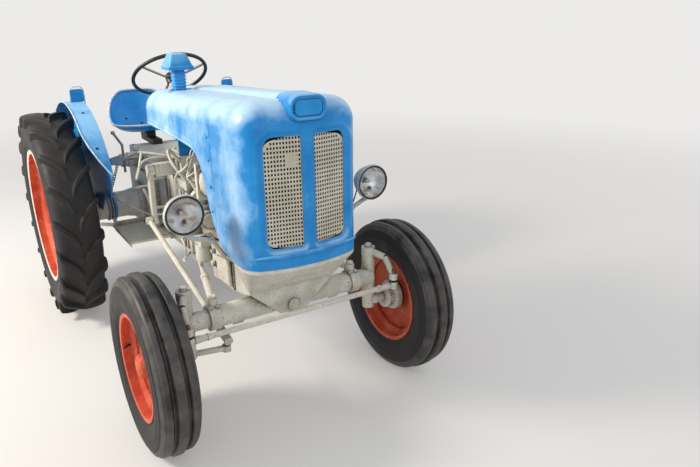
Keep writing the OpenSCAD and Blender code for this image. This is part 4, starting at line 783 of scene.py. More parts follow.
def build_intake():
    """The air intake on the hood, with ribs, cap and the pressed bead round its foot."""
    piece = Piece("air_intake_cap", "blue_enamel")

    def layer(half, low, high, bevel, segments=2):
        piece.add(block((INTAKE_X - half, INTAKE_Y - half, low), (INTAKE_X + half, INTAKE_Y + half, high), bevel,
                        segments))

    layer(26, 1296, 1430, 4)
    for i in range(6):
        layer(29.5, 1334 + 15 * i, 1341 + 15 * i, 2.4)
    cap = bmesh.new()
    bmesh.ops.create_cone(cap, cap_ends=True, segments=4, radius1=84, radius2=52, depth=62,
                          matrix=Matrix.Translation((INTAKE_X, INTAKE_Y, 1471)) @ Matrix.Rotation(math.pi / 4, 4, "Z"))
    soften(cap, cap.edges[:], 9, 4)
    piece.add(cap)
    layer(61, 1427, 1446, 5, 3)
    base = round_z(INTAKE_Y) + HOOD_ROUND - 1
    piece.add(pipe([(INTAKE_X + 34 + 92 * math.cos(t * math.tau / 36), INTAKE_Y - 30 + 58 * math.sin(t * math.tau / 36),
                     base) for t in range(37)], 5, sides=10, steps=1))
    piece.done("air_intake")


LAMP_X, LAMP_Y, LAMP_Z = 428, -50, 964


def build_lamps(sizes):
    """Headlamps: shells with reflectors and bulbs, rings and glasses."""
    r = sizes.lamp_radius / MM
    shell, bezel = Piece("lamp_shells", "lamp_chrome"), Piece("lamp_bezels", "lamp_chrome")
    lens = Piece("lamp_lenses", "lamp_glass")
    front = (0, -1, 0)
    for side in (-1, 1):
        at = (side * LAMP_X, LAMP_Y, LAMP_Z)
        shell.add(turned([(-3, r - 3), (-14, r - 5), (-34, r - 9), (-56, r - 16), (-74, r - 26), (-90, r - 40),
                          (-102, r - 58), (-108, 10), (-109, 0), (-107, 0), (-106, 8), (-99, r - 60), (-87, r - 43),
                          (-72, r - 29), (-54, r - 19), (-33, r - 12), (-13, r - 8), (-3, r - 6)], at, front, 72),
                  "shell_grey")
        shell.add(turned([(-2, r - 8), (-10, r - 11), (-24, r - 19), (-40, r - 31), (-52, r - 44), (-60, 20),
                          (-64, 12), (-66, 0), (-68, 0), (-66, 13), (-62, 22), (-54, r - 42), (-42, r - 29),
                          (-25, r - 17), (-10, r - 9), (-2, r - 6)], at, front, 72), "lamp_silver")
        shell.add(ball((at[0], LAMP_Y + 40, LAMP_Z), 9, 20, (1, 1.5, 1)), "bulb_glass")
        shell.add(drum((at[0], LAMP_Y + 66, LAMP_Z), (at[0], LAMP_Y + 50, LAMP_Z), 11), "dark_iron")
        shell.add(drum((at[0] + 8, LAMP_Y + 46, LAMP_Z - 34), (at[0] + 8, LAMP_Y + 34, LAMP_Z - 34), 8), "dark_iron")
        # Rolled ring and the black rubber in it
        bezel.add(turned([(-14, r - 4), (-14, r), (-6, r), (0, r - 1), (2.5, r - 2.5), (2, r - 4), (-2, r - 4.5),
                          (-8, r - 4)], at, front, 96), "shell_grey")
        bezel.add(turned([(-3, r - 11), (-3, r - 3.5), (3, r - 3.2), (4.6, r - 4.5), (4.4, r - 8.5), (1.5, r - 11)],
                         at, front, 96), "lamp_seal")
        bezel.add(bolt(Vector(at) - Vector((0, 0, r - 2)), front, r=2, head=1.5), "bare_steel")
        lens.add(turned([(-1.5, r - 9), (1, r - 9), (4, r * 0.72), (6.5, r * 0.5), (8, r * 0.25), (8.5, 0), (6, 0),
                         (5.5, r * 0.25), (4, r * 0.5), (1.5, r * 0.72)], at, front, 72))
    shell.done("headlamps", sharp=60)
    bezel.done(sharp=60)
    lens.done("headlamp_glasses", sharp=60)


FRONT_X, FRONT_Z, REAR_X, REAR_Y, REAR_Z = 600, 369, 630, 1620, 582
REAR_R, REAR_HALF = 582, 124
FRONT_PROFILE = ((0, 369.2), (12, 369), (16, 367.5), (18.5, 364), (21.5, 352), (24, 349.3), (31, 349.3), (33.5, 352),
                 (36, 358.5), (38.5, 361), (52, 361), (56, 359.5), (60, 355), (63, 352.5), (67, 351), (71, 344),
                 (75.5, 330), (77, 327), (79.5, 324), (80.5, 312), (82, 296), (83, 293.5), (83, 288), (81.8, 285),
                 (80.5, 268), (76, 250), (70, 236), (67, 233), (66, 227), (62, 220), (58, 213), (56, 209))
REAR_PROFILE = ((0, 552), (40, 551.5), (74, 549), (92, 542), (104, 530), (111, 514), (113, 497), (116.5, 490),
                (117, 470), (115, 466), (114, 440), (111, 424), (107, 418), (105, 404), (100, 396), (97, 388),
                (93, 374), (91, 367))
# One lug of the rear tyres, as the solids have it. Columns: place across of the top as a share of the half width,
# depth of the top, place across of the base, depth of the base, turn back, half width on top and at the base
LUG_ROWS = ((0.03, 2, 0.03, 40, 0.0, 15, 22), (0.12, 0.5, 0.12, 40, 2.2, 18, 25), (0.22, 0, 0.22, 40, 4.4, 19, 26),
            (0.35, 0, 0.35, 40, 6.6, 19, 25), (0.48, 0, 0.48, 41, 8.4, 18, 24), (0.61, 1, 0.60, 43, 10.0, 18, 23),
            (0.74, 3, 0.72, 47, 11.5, 17, 22), (0.86, 7, 0.77, 55, 12.7, 16.5, 21),
            (0.94, 14, 0.81, 64, 13.4, 16, 20), (0.975, 36, 0.84, 74, 14.0, 14, 17),
            (0.985, 62, 0.87, 86, 14.6, 11, 14))
LUG_COUNT, LUG_PHASE = 19, -6
# Circles of bolts and nuts: how many and their radius, on the rear discs, in the front hubs and on their drums
REAR_BOLTS, HUB_BOLTS, DRUM_NUTS = (8, 105), (5, 66), (18, 51)
# Radius below which the front tyres' sidewalls begin
SHOULDER_R = 335
# Barrel with its disc, and lip, of the rear rims: places along the axle and radii
BARREL = ((-102, 362), (-93, 366), (-60, 366), (-56, 362), (-42, 343), (-38, 340), (38, 340), (42, 343), (56, 362),
          (60, 366), (93, 366), (102, 362), (99, 359), (92, 361), (62, 361), (58, 357), (44, 338), (40, 335),
          (-21, 335), (-24, 330), (10, 190), (12, 180), (9, 170), (-20, 142), (-22, 136), (-22, 0), (-28, 0),
          (-28, 138), (-25, 146), (3, 176), (5, 184), (-28, 330), (-33, 335), (-40, 335), (-44, 338), (-58, 357),
          (-62, 361), (-92, 361), (-99, 359))
LIP = ((97, 361), (99, 366), (98, 376), (99, 381), (103, 382.5), (105.5, 380), (105.5, 372), (103.5, 365), (101, 359))


def both_flanks(profile):
    """A profile drawn from the middle to one side, with its mirror image on the other."""
    return [*profile, *[(-x, r) for x, r in reversed(profile[1:])]]


def lug_form():
    """One curved lug with rounded edges, in the plane of the wheel with its axis along Z."""
    def corners(row):
        across, top, base_across, base, back, half_top, half_base = row
        turn = math.radians(-back)
        points = []
        for r, off, z in ((REAR_R - top, -half_top, across), (REAR_R - top, half_top, across),
                          (REAR_R - base, half_base, base_across), (REAR_R - base, -half_base, base_across)):
            points.append((r * math.cos(turn) - off * math.sin(turn), r * math.sin(turn) + off * math.cos(turn),
                           z * REAR_HALF))
        return points

    bm = closed_strip(len(LUG_ROWS) - 1, lambda share: corners(LUG_ROWS[round(share * (len(LUG_ROWS) - 1))]))
    sharp = [e for e in bm.edges if e.calc_face_angle(0) > 0.7 and all(v.co.xy.length > 505 for v in e.verts)]
    soften(bm, sharp, 5.5, 2)
    return bm


def build_front_tyres():
    """Ribbed front tyres with their valve stems."""
    for side, word in SIDES:
        piece = Piece(f"front_tyre_{word}_ribbed", "tyre_rubber", f"front_wheel_{word}")
        at = (side * FRONT_X, 0, FRONT_Z)
        piece.add(turned(both_flanks(FRONT_PROFILE), at, (1, 0, 0), 112), "tyre_front")
        # Below the shoulders the sidewalls have kept the dark of the rubber
        piece.finishes.append("tyre_side")
        for face in piece.bm.faces:
            if (face.calc_center_median() - Vector(at)).yz.length < SHOULDER_R:
                face.material_index = 1
        piece.add(drum((side * (FRONT_X + 30), 207, FRONT_Z), (side * (FRONT_X + 64), 186, FRONT_Z), 4), "dark_iron")
        piece.done(f"front_tyre_{word}", sharp=24)


def build_rear_tyres():
    """Rear tyres with their lugs, one row on each flank, half a pitch apart."""
    for side, word in SIDES:
        piece = Piece(f"rear_tyre_{word}_lugged", "tyre_rubber", f"rear_wheel_{word}")
        piece.add(turned(both_flanks(REAR_PROFILE), (side * REAR_X, REAR_Y, REAR_Z), (1, 0, 0), 128), "tyre_side")
        place = Matrix.Scale(side, 4, (1, 0, 0)) @ Matrix.Translation((REAR_X, REAR_Y, REAR_Z)) @ side_at(0)
        for flip in (0, 1):
            for i in range(LUG_COUNT):
                lug = lug_form()
                if flip:
                    bmesh.ops.transform(lug, matrix=Matrix.Scale(-1, 4, (0, 0, 1)), verts=lug.verts)
                turn = Matrix.Rotation(math.radians((i + flip / 2) * 360 / LUG_COUNT + LUG_PHASE), 4, "Z")
                bmesh.ops.transform(lug, matrix=place @ turn, verts=lug.verts)
                piece.add(settled(lug), "tyre_side")
        piece.done(f"rear_tyre_{word}", sharp=34)


def build_wheels():
    """Rear rims with their cream lips, wheel bolts, hubs and caps."""
    for side, word in SIDES:
        out = (side, 0, 0)

        def around(count, r, y, z, start=0.0):
            for i in range(count):
                turn = math.tau * (i + start) / count
                yield y + r * math.cos(turn), z + r * math.sin(turn)

        def bar(x0, x1, y, z, r, **settings):
            return drum((side * x0, y, z), (side * x1, y, z), r, **settings)

        at = (side * REAR_X, REAR_Y, REAR_Z)
        rim = Piece(f"rear_rim_{word}_painted", "rim_enamel", f"rear_wheel_{word}")
        rim.add(turned(BARREL, at, out, 96))
        for end in (-1, 1):
            rim.add(turned([(end * x, r) for x, r in LIP], at, out, 96), "lip_enamel")
        rim.add(turned([(-171, 0), (-171, 86), (-160, 88), (-40, 88), (-28, 90), (-26, 0)], at, out, 64),
                "cream_enamel")
        rim.add(turned([(-22, 0), (-22, 58), (-10, 56), (8, 48), (13, 40), (14, 0)], at, out, 48))
        for y, z in around(*REAR_BOLTS, REAR_Y, REAR_Z, 0.5):
            rim.add(bolt((side * (REAR_X - 22), y, z), out, r=13, head=12, washer=3), "rusty_iron")
            rim.add(bar(REAR_X - 20, REAR_X + 4, y, z, 7, bevel=1), "rusty_iron")
        rim.done(f"rear_rim_{word}")
        at = (side * FRONT_X, 0, FRONT_Z)
        hub = Piece(f"front_hub_{word}", "rim_enamel", f"front_wheel_{word}")
        # Turned flange and drum on the side of the axle, cap and nuts on the outer side
        hub.add(turned([(-79, 24), (-79, 52), (-74, 55), (-66, 55), (-62, 50), (-44, 49), (-38, 60), (-34, 72),
                        (-12, 74), (-8, 70), (-8, 24)], at, out, 64), "cream_enamel")
        hub.add(turned([(14, 0), (14, 52), (40, 50), (52, 44), (60, 30), (62, 0)], at, out, 48))
        for y, z in around(*HUB_BOLTS, 0, FRONT_Z):
            hub.add(bolt((side * (FRONT_X + 16), y, z), out, r=10, head=9), "rusty_iron")
        for y, z in around(*DRUM_NUTS, 0, FRONT_Z):
            hub.add(bar(FRONT_X - 60, FRONT_X - 47, y, z, 4, sides=8, bevel=0.8, segments=1), "cream_enamel")
        hub.done()


# Radius of the fenders' flange, the places where its front end narrows to a point, as turns up from the rear and
# places across, and the outline of the upright lamp plate in X and Z
FENDER_R = 632
FENDER_TIP = ((127, 522), (130, 517), (134, 508), (137, 498), (140, 487), (143, 474), (146, 458), (149, 441),
              (150.5, 430))
LAMP_PLATE = ((413, 1190), (413, 1262), (416, 1279), (424, 1290), (435, 1296), (466, 1296), (477, 1290), (485, 1279),
              (488, 1262), (488, 1220))


def build_fenders():
    """Rolled edges, studs and inner stiffeners of the fenders, on the pressed solids."""
    for side, word in SIDES:
        piece = Piece(f"fender_edge_{word}", "blue_enamel")

        def at(turn, x, r=FENDER_R):
            a = math.radians(turn)
            return Vector((side * x, REAR_Y - r * math.cos(a), REAR_Z + r * math.sin(a)))

        edge = [at(180 - t, 524) for t in range(12, 125, 4)] + [at(180 - t, x) for t, x in FENDER_TIP]
        piece.add(pipe(edge, 4.2, sides=10, steps=3), "worn_edge")
        piece.add(pipe([at(180 - t, 427, 627) for t in range(14, 151, 6)], 4, sides=8, steps=2))
        for turn, x in ((100, 470), (70, 470), (44, 470), (122, 455)):
            foot = at(turn, x)
            out = (foot - Vector((side * x, REAR_Y, REAR_Z))).normalized()
            piece.add(bolt(foot - out, out, r=6, head=3, washer=1.5), "dark_iron")
        for y in (-34, 34):
            piece.add(bolt((side * 425, REAR_Y + y, REAR_Z + 120), (-side, 0, 0), r=9, head=6), "rusty_iron")
        # Rounded edge and the two screws of the upright lamp plate
        piece.add(pipe([(side * x, REAR_Y - 11.5, z) for x, z in LAMP_PLATE], 3, sides=8, steps=3), "worn_edge")
        for x in (436, 466):
            piece.add(bolt((side * x, REAR_Y - 13, 1262), (0, -1, 0), r=4.5, head=3, washer=1))
        piece.done()


SEAT_Y, SEAT_Z, SEAT_HALF = 1900, 965, 222
# Reach of the pan to the front and to the back, height of its rim at the front, and how much the back stands above it
SEAT_AHEAD, SEAT_BEHIND, RIM_Z, BACK_HIGH = 168, 196, 1022, 186


def seat_rim(turn):
    """Rim of the seat pan at a turn from its front, in degrees."""
    a = math.radians(turn)
    back = blend_step(70, 165, abs((turn + 180) % 360 - 180))
    y = SEAT_Y - math.cos(a) * (SEAT_AHEAD if math.cos(a) > 0 else SEAT_BEHIND)
    x = SEAT_HALF * math.copysign(abs(math.sin(a)) ** 0.82, math.sin(a))
    return Vector((x, y + 6, RIM_Z + BACK_HIGH * back))


def build_seat():
    """The pressed seat pan, its rolled edge, its rubber plugs and the bracket under it."""
    piece = Piece("seat_pan", "blue_enamel")
    floor = Vector((0, SEAT_Y - 5, SEAT_Z + 7))

    def place(u, v):
        rim = seat_rim(360 * u)
        share = v ** 0.9
        flat = floor.lerp(Vector((rim.x, rim.y, floor.z)), share)
        flat.z += (rim.z - floor.z) * (0.12 * share ** 2 + 0.88 * share ** 5)
        # Two shallow hollows to sit in, and a low ridge between them
        flat.z -= 5 * math.exp(-((abs(flat.x) - 90) ** 2 + (flat.y - SEAT_Y + 10) ** 2) / 5500)
        return flat

    bm = patch(72, 22, place)
    bmesh.ops.remove_doubles(bm, verts=bm.verts, dist=0.05)
    piece.add(facing_up(bm, min), "seat_blue")
    piece.done("seat", wall=2.5, sharp=50)
    edge = Piece("seat_edge", "blue_enamel")
    edge.add(pipe([seat_rim(360 * i / 60) for i in range(61)], 7, sides=12, steps=2), "worn_edge")
    for turn, share in ((150, 0.72), (210, 0.72), (180, 0.55), (120, 0.6), (240, 0.6), (90, 0.45), (270, 0.45),
                        (60, 0.6), (300, 0.6)):
        foot = place(turn / 360, share)
        up = (place(turn / 360, share + 0.03) - foot).cross(place(turn / 360 + 0.01, share) - foot).normalized()
        up = up if up.z > 0 else -up
        edge.add(drum(foot - up * 2.2, foot + up * 0.5, 9, sides=20, bevel=0.3, segments=1), "core_black")
    edge.add(block((-34, SEAT_Y - 60, SEAT_Z - 12), (34, SEAT_Y + 60, SEAT_Z + 6), 4), "dark_iron")
    edge.done()


WHEEL_CENTRE, WHEEL_TILT = (0, 1318, 1357), math.radians(-36)
WHEEL_PLACE = Matrix.Translation(WHEEL_CENTRE) @ Matrix.Rotation(WHEEL_TILT, 4, "X")


def build_steering_wheel(sizes):
    """Rim, three spokes, hub and nut of the steering wheel."""
    r = sizes.wheel_radius / MM
    piece = Piece("steering_rim", "wheel_plastic", "steering_wheel")
    piece.add(ring((0, 0, 0), (0, 0, 1), r - 11, 10, sides=16, steps=96), place=WHEEL_PLACE)
    for turn in (90, 210, 330):
        a = math.radians(turn)
        way = Vector((math.cos(a), math.sin(a), 0))
        spoke = [way * far + Vector((0, 0, z)) for far, z in ((18, -22), (70, -19), (r - 40, -6), (r - 12, 0))]
        piece.add(pipe(spoke, 6.5, steps=5), "bare_steel", place=WHEEL_PLACE)
    piece.add(turned([(-55, 0), (-55, 29), (-20, 30), (-2, 28), (4, 22), (6, 0)], (0, 0, 0), (0, 0, 1), 40),
              place=WHEEL_PLACE)
    piece.add(bolt((0, 0, 4), (0, 0, 1), r=12, head=9), "bare_steel", place=WHEEL_PLACE)
    piece.done("steering_wheel", sharp=45)


def run_of_bolts(piece, table):
    """Bolt heads from a table of place, direction and radius."""
    for at, out, r in table:
        piece.add(bolt(at, out, r=r, head=r * 0.75, washer=1.5))


# Pipes, rods and wires on the right side of the engine and gearbox: radius, finish, points in X, Y and Z
RODS = (
    (6, "cream_enamel", ((-196, 764, 588), (-196, 729, 560), (-196, 741, 478), (-186, 800, 462), (-114, 872, 472))),
    (6, "cream_enamel", ((-118, 764, 606), (-196, 764, 588))),
    (5, "cream_enamel", ((-88, 520, 1068), (-196, 530, 1052), (-202, 545, 1020), (-200, 640, 972), (-200, 740, 930),
                         (-196, 768, 870), (-118, 792, 800))),
    (5, "cream_enamel", ((-226, 1160, 822), (-226, 1068, 682))),
    (6, "cream_enamel", ((-120, 1143, 822), (-232, 1160, 822))),
    (7, "cream_enamel", ((-120, 1068, 682), (-232, 1068, 682))),
    (7, "cream_enamel", ((-268, 1490, 880), (-250, 1400, 912), (-244, 1300, 944), (-236, 1205, 966),
                         (-104, 1122, 944))),
    (9, "cream_enamel", ((-100, 950, 938), (-176, 905, 1020), (-180, 870, 975), (-160, 839, 926), (-118, 828, 856))),
    (4.5, "bare_steel", ((-128, 610, 700), (-176, 640, 690), (-190, 700, 720), (-176, 760, 760), (-130, 770, 790))),
    (4, "rusty_iron", ((-122, 330, 720), (-150, 300, 700), (-150, 240, 640), (-130, 200, 560))),
    (5, "cream_enamel", ((-140, 1000, 660), (-215, 1080, 640), (-240, 1240, 610), (-330, 1420, 650),
                         (-356, 1590, 664))),
    (4, "bare_steel", ((-126, 420, 1085), (-140, 470, 1112), (-138, 560, 1118), (-122, 620, 1096))),
)
CHAIN_LINKS, CHAIN_SAG = 13, 10


def build_engine():
    """Pipes, rods, straps, wires and bolts on the right side of the engine and gearbox, and some on the left."""
    piece = Piece("engine_fittings", "cream_enamel")
    for r, finish, points in RODS:
        piece.add(pipe(points, r, steps=5), finish)
    # Injection pipes from the pump to the injectors
    for i, bore in enumerate((260, 425, 590)):
        y = 458 + 42 * i
        piece.add(pipe([(-170, y, 840), (-170, y, 880), (-190 + 5 * i, y + 22, 920), (-206 + 8 * i, y + 52, 962),
                        (-190 + 6 * i, (y + bore) / 2 + 30, 1030), (-140, bore + 12, 1100), (-100, bore, 1109)], 3.5,
                       sides=10, steps=5), "bare_steel")
        piece.add(drum((-170, y, 840), (-170, y, 866), 10, sides=6, bevel=1), "bare_steel")
        piece.add(drum((-104, bore, 1109), (-90, bore, 1109), 8, sides=6, bevel=1), "bare_steel")
    # Slotted control lever on the end of the drop arm's shaft, and the strap that carries it
    lever = ((905, 1016), (918, 1024), (1000, 930), (1072, 866), (1060, 850), (990, 912))
    piece.add(plate(lever, 7, side_at(-318), 1.5))
    piece.add(pipe([(-116, 1000, 945), (-190, 1000, 972), (-280, 1000, 962), (-315, 992, 922)], 6))
    # Clamp with its bolts on the right axle trumpet, and the chain that hangs from the hand lever
    for x in (-372, -352):
        piece.add(ring((x, REAR_Y, REAR_Z), (1, 0, 0), 84, 6, sides=10, steps=48), "bare_steel")
    clamp_top = REAR_Z + 88
    piece.add(block((-386, REAR_Y - 40, REAR_Z + 74), (-338, REAR_Y + 40, clamp_top), 4))
    run_of_bolts(piece, [((x, REAR_Y + y, clamp_top), (0, 0, 1), 8) for x in (-376, -348) for y in (-26, 26)])
    top, low = Vector((-312, 1486, 846)), Vector((-352, REAR_Y - 34, clamp_top))
    for i in range(CHAIN_LINKS):
        share = i / (CHAIN_LINKS - 1)
        centre = top.lerp(low, share) + Vector((0, 0, -CHAIN_SAG * math.sin(math.pi * share)))
        turn = Matrix.Translation(centre) @ Matrix.Rotation(math.pi / 2 * (i % 2) + 0.4, 4, "Z") @ Matrix.Rotation(
            math.pi / 2, 4, "X") @ Matrix.Diagonal((0.62, 1, 1, 1))
        piece.add(ring((0, 0, 0), (0, 0, 1), 10, 3, sides=8, steps=20), "rusty_iron", place=turn)
    # Cover bolts along the block, sump, gearbox and axle case
    table = [((x, y, z), (-1, 0, 0), 6) for y, x in ((186, -133), (246, -128), (306, -128), (346, -133))
             for z in (710, 826)]
    table += [((x, y, 570), (0, 0, -1), 6) for y in range(170, 700, 58) for x in (-126, 126)]
    for turn in range(0, 360, 45):
        y, z = math.cos(math.radians(turn)), math.sin(math.radians(turn))
        for side in (-1, 1):
            table.append(((side * 138, 1000 + 68 * y, 650 + 68 * z), (side, 0, 0), 7))
            # The foot of the case has no flange for the lowest bolt
            if turn != 270:
                table.append(((side * 166, REAR_Y + 112 * y, REAR_Z + 112 * z), (side, 0, 0), 8))
    table += [((x, 1150, z), (0, -1, 0), 8) for z in (500, 580, 660, 740, 820) for x in (-136, 136)]
    table += [((x, y, 905), (0, 0, 1), 8) for y in (1420, 1520, 1640, 1760) for x in (-140, 140)]
    table += [((x, y, 1075), (0, 0, 1), 7) for x in (-92, 92) for y in (200, 300, 400, 470, 560, 650)]
    run_of_bolts(piece, table)
    piece.done(sharp=40)


KINGPIN_X, KINGPIN_Y = 445, 12
TIE_X, TIE_Y, TIE_Z = 487, -132, 488


def build_axle():
    """Bolts, washers, caps, wires and boots of the front axle and steering."""
    piece = Piece("axle_fittings", "cream_enamel")
    table = []
    for side in (-1, 1):
        table += [((side * x, -20, 548), (0, 0, 1), 9) for x in (322, 350)]
        table += [((side * 204, 305, z), (side, 0, 0), 9) for z in (602, 665)]
        table += [((side * 195, y, 700), (side, 0, 0), 8) for y in (-50, 20)]
        x = side * KINGPIN_X
        piece.add(ring((x, KINGPIN_Y, 600), (0, 0, 1), 27, 4, sides=10, steps=40))
        piece.add(drum((side * 100, 812, 452), (side * 100, 860, 452), 15, sides=6))
        piece.add(drum((x, KINGPIN_Y, 604), (x, KINGPIN_Y, 612), 30, bevel=2))
    run_of_bolts(piece, table)
    piece.add(turned([(0, 0), (0, 46), (4, 50), (8, 46), (9, 30), (12, 26), (12, 0)], (0, -58, 498), (0, -1, 0), 48))
    # Wires from the lamps to the rails, with their slack
    wire = ((428, 55, 955), (420, 70, 900), (380, 66, 832), (300, 100, 812), (222, 112, 770), (205, 130, 742))
    for side in (-1, 1):
        piece.add(pipe([(side * x, y, z) for x, y, z in wire], 3, sides=8, steps=6), "core_black")
    piece.done(sharp=40)
    for side, word in SIDES:
        knuckle = Piece(f"knuckle_fittings_{word}", "cream_enamel", f"knuckle_{word}")
        knuckle.add(bolt((side * KINGPIN_X, KINGPIN_Y, 640), (0, 0, 1), r=15, head=12, washer=4))
        knuckle.add(drum((side * TIE_X, TIE_Y, 546), (side * TIE_X, TIE_Y, 560), 10, sides=6, bevel=1.2), "rusty_iron")
        knuckle.add(turned([(-6, 0), (-6, 26), (0, 30), (10, 30), (16, 26), (16, 0)], (side * 530, 0, FRONT_Z),
                           (side, 0, 0), 40))
        knuckle.done(sharp=40)
    # Sockets, lock nuts and rubber boots at both ends of the tie rod
    rod = Piece("tie_rod_fittings", "cream_enamel", "tie_rod")
    for side in (-1, 1):
        ball_joint, socket, socket_end, nut, nut_end = (
            (side * (TIE_X - inward), TIE_Y, TIE_Z) for inward in (0, 24, 70, 74, 90))
        rod.add(drum(socket, socket_end, 16, 13, bevel=2))
        rod.add(drum(nut, nut_end, 17, sides=6))
        rod.add(turned([(16, 18), (19, 21), (22, 19), (25, 21), (28, 17), (30, 10), (16, 10)], ball_joint, (0, 0, 1),
                       32), "core_black")
    rod.done(sharp=40)


# Camera of the photograph's view: place from the front axle in metres, turn, tilt and roll in radians
CAMERA_PLACE = (-1.134826, -2.28883, 1.67429)
CAMERA_YAW, CAMERA_PITCH, CAMERA_ROLL = 0.571495, 0.334358, -0.010327
CAMERA_FOCAL_PX, IMAGE_WIDTH_PX, SENSOR_MM = 635.3086, 700, 36.0
# Lamps of the stage: name, place in metres, size in metres, watts and colour
STAGE_LAMPS = (
    ("sun_side", (-4.6, 1.1, 3.7), 1.5, 345.0, "#FFF6EA"),
    ("front_fill", (-1.5, -5.0, 3.0), 4.0, 45.0, "#F4F8FF"),
    ("left_fill", (4.5, -1.0, 3.5), 4.0, 26.0, "#F4F8FF"),
)
# Place the lamps point at and half the floor's size, in metres, then the backdrop, the sky's colour and its strength
LAMPS_AIM, FLOOR_HALF = (0, 0, 0.6), 60.0
BACKDROP, SKY, SKY_STRENGTH = "#ECEBE9", "#F2F4F7", 0.63


def build_stage():
    """Floor, lamps, world and camera."""
    scene = bpy.context.scene
    scene.view_settings.view_transform = "Standard"
    bm = bmesh.new()
    bmesh.ops.create_grid(bm, x_segments=2, y_segments=2, size=FLOOR_HALF)
    mesh = bpy.data.meshes.new("floor")
    bm.to_mesh(mesh)
    bm.free()
    mesh.materials.append(finish_named("pale_floor"))
    floor = bpy.data.objects.new("floor", mesh)
    scene.collection.objects.link(floor)
    for name, place, size, watts, tint in STAGE_LAMPS:
        light = bpy.data.lights.new(name, "AREA")
        light.shape, light.size, light.energy, light.color = "DISK", size, watts, colour(tint)[:3]
        lamp = bpy.data.objects.new(name, light)
        lamp.matrix_world = Matrix.Translation(place) @ (
            Vector(LAMPS_AIM) - Vector(place)).to_track_quat("-Z", "Y").to_matrix().to_4x4()
        scene.collection.objects.link(lamp)
    world = bpy.data.worlds.new("studio")
    world.use_nodes = True
    tree = world.node_tree
    sky, add = tree.nodes["Background"], functools.partial(add_node, tree)
    feed(tree, sky, {"Color": colour(SKY), "Strength": SKY_STRENGTH})
    plain = add("Background", {"Color": colour(BACKDROP), "Strength": 1.0})
    mixed = add("MixShader", {0: backdrop_rays(add), 1: sky.outputs[0], 2: plain})
    feed(tree, tree.nodes["World Output"], {"Surface": mixed})
    scene.world = world
    forward = Vector((math.sin(CAMERA_YAW) * math.cos(CAMERA_PITCH), math.cos(CAMERA_YAW) * math.cos(CAMERA_PITCH),
                      -math.sin(CAMERA_PITCH)))
    level = Vector((math.cos(CAMERA_YAW), -math.sin(CAMERA_YAW), 0))
    upright = level.cross(forward)
    right = math.cos(CAMERA_ROLL) * level + math.sin(CAMERA_ROLL) * upright
    up = -math.sin(CAMERA_ROLL) * level + math.cos(CAMERA_ROLL) * upright
    data = bpy.data.cameras.new("camera")
    data.sensor_width, data.sensor_fit = SENSOR_MM, "HORIZONTAL"
    data.lens = CAMERA_FOCAL_PX / IMAGE_WIDTH_PX * SENSOR_MM
    camera = bpy.data.objects.new("camera", data)
    axes = Matrix((right, up, -forward)).transposed().to_4x4()
    camera.matrix_world = Matrix.Translation(Vector(CAMERA_PLACE) + Vector((0, AXLE_Y, 0))) @ axes
    scene.collection.objects.link(camera)
    scene.camera = camera


# Settings, operators and panel


def length(name, words, value, low, high):
    """A length setting in metres."""
    return bpy.props.FloatProperty(name=name, description=words, default=value, min=low, max=high, subtype="DISTANCE",
                                   unit="LENGTH")


class TractorSizes(bpy.types.PropertyGroup):
    """Sizes that a user may change, inside what the solids allow."""

    hood_wall: length("Hood sheet", "Thickness of the hood's pressed sheet", 0.002, 0.001, 0.004)
    lamp_radius: length("Lamp radius", "Outside radius of a headlamp", 0.079, 0.07, 0.082)
    wheel_radius: length("Steering wheel radius", "Outside radius of the rim", 0.212, 0.19, 0.213)


def paint(name, words, value):
    """A colour setting with its default from a hex value."""
    return bpy.props.FloatVectorProperty(name=name, description=words, default=colour(value)[:3], size=3, min=0.0,
                                         max=1.0, subtype="COLOR")


class TractorColours(bpy.types.PropertyGroup):
    """Main paints of the tractor."""

    blue: paint("Blue", "Enamel of the hood, fenders and seat", "#0A80C8")
    blue_pale: paint("Faded blue", "The same enamel where it has faded", "#2B97DC")
    cream: paint("Cream", "Enamel of the engine, gearbox and axles", "#C2BFAF")
    cream_pale: paint("Pale cream", "The same enamel where it is thick and clean", "#DAD8CE")
    red: paint("Red", "Enamel of the wheel rims", "#B5432A")
    rubber: paint("Rubber", "Sidewalls and lugs of the tyres", "#19181B")


class TRACTOR_OT_finishes(bpy.types.Operator):
    """Make every material and give the solids theirs"""

    bl_idname = "tractor.finishes"
    bl_label = "Finishes"

    def execute(self, context):
        make_finishes(context.scene.tractor_colours)
        dress_solids()
        return {"FINISHED"}


class TRACTOR_OT_hood(bpy.types.Operator):
    """Make the pressed hood with its openings, ridge, pod and trim"""

    bl_idname = "tractor.hood"
    bl_label = "Hood"

    def execute(self, context):
        build_hood(context.scene.tractor_sizes)
        return {"FINISHED"}


class TRACTOR_OT_air_intake(bpy.types.Operator):
    """Make the air intake with its cap"""

    bl_idname = "tractor.air_intake"
    bl_label = "Air intake"

    def execute(self, context):
        build_intake()
        return {"FINISHED"}


class TRACTOR_OT_headlamps(bpy.types.Operator):
    """Make both headlamps with reflectors and glasses"""

    bl_idname = "tractor.headlamps"
    bl_label = "Headlamps"

    def execute(self, context):
        build_lamps(context.scene.tractor_sizes)
        return {"FINISHED"}


class TRACTOR_OT_front_tyres(bpy.types.Operator):
    """Make the ribbed front tyres"""

    bl_idname = "tractor.front_tyres"
    bl_label = "Front tyres"

    def execute(self, context):
        build_front_tyres()
        return {"FINISHED"}


class TRACTOR_OT_rear_tyres(bpy.types.Operator):
    """Make the lugged rear tyres"""

    bl_idname = "tractor.rear_tyres"
    bl_label = "Rear tyres"

    def execute(self, context):
        build_rear_tyres()
        return {"FINISHED"}


class TRACTOR_OT_wheels(bpy.types.Operator):
    """Make the rear rims and the hubs and nuts of all wheels"""

    bl_idname = "tractor.wheels"
    bl_label = "Rims and hubs"

    def execute(self, context):
        build_wheels()
        return {"FINISHED"}


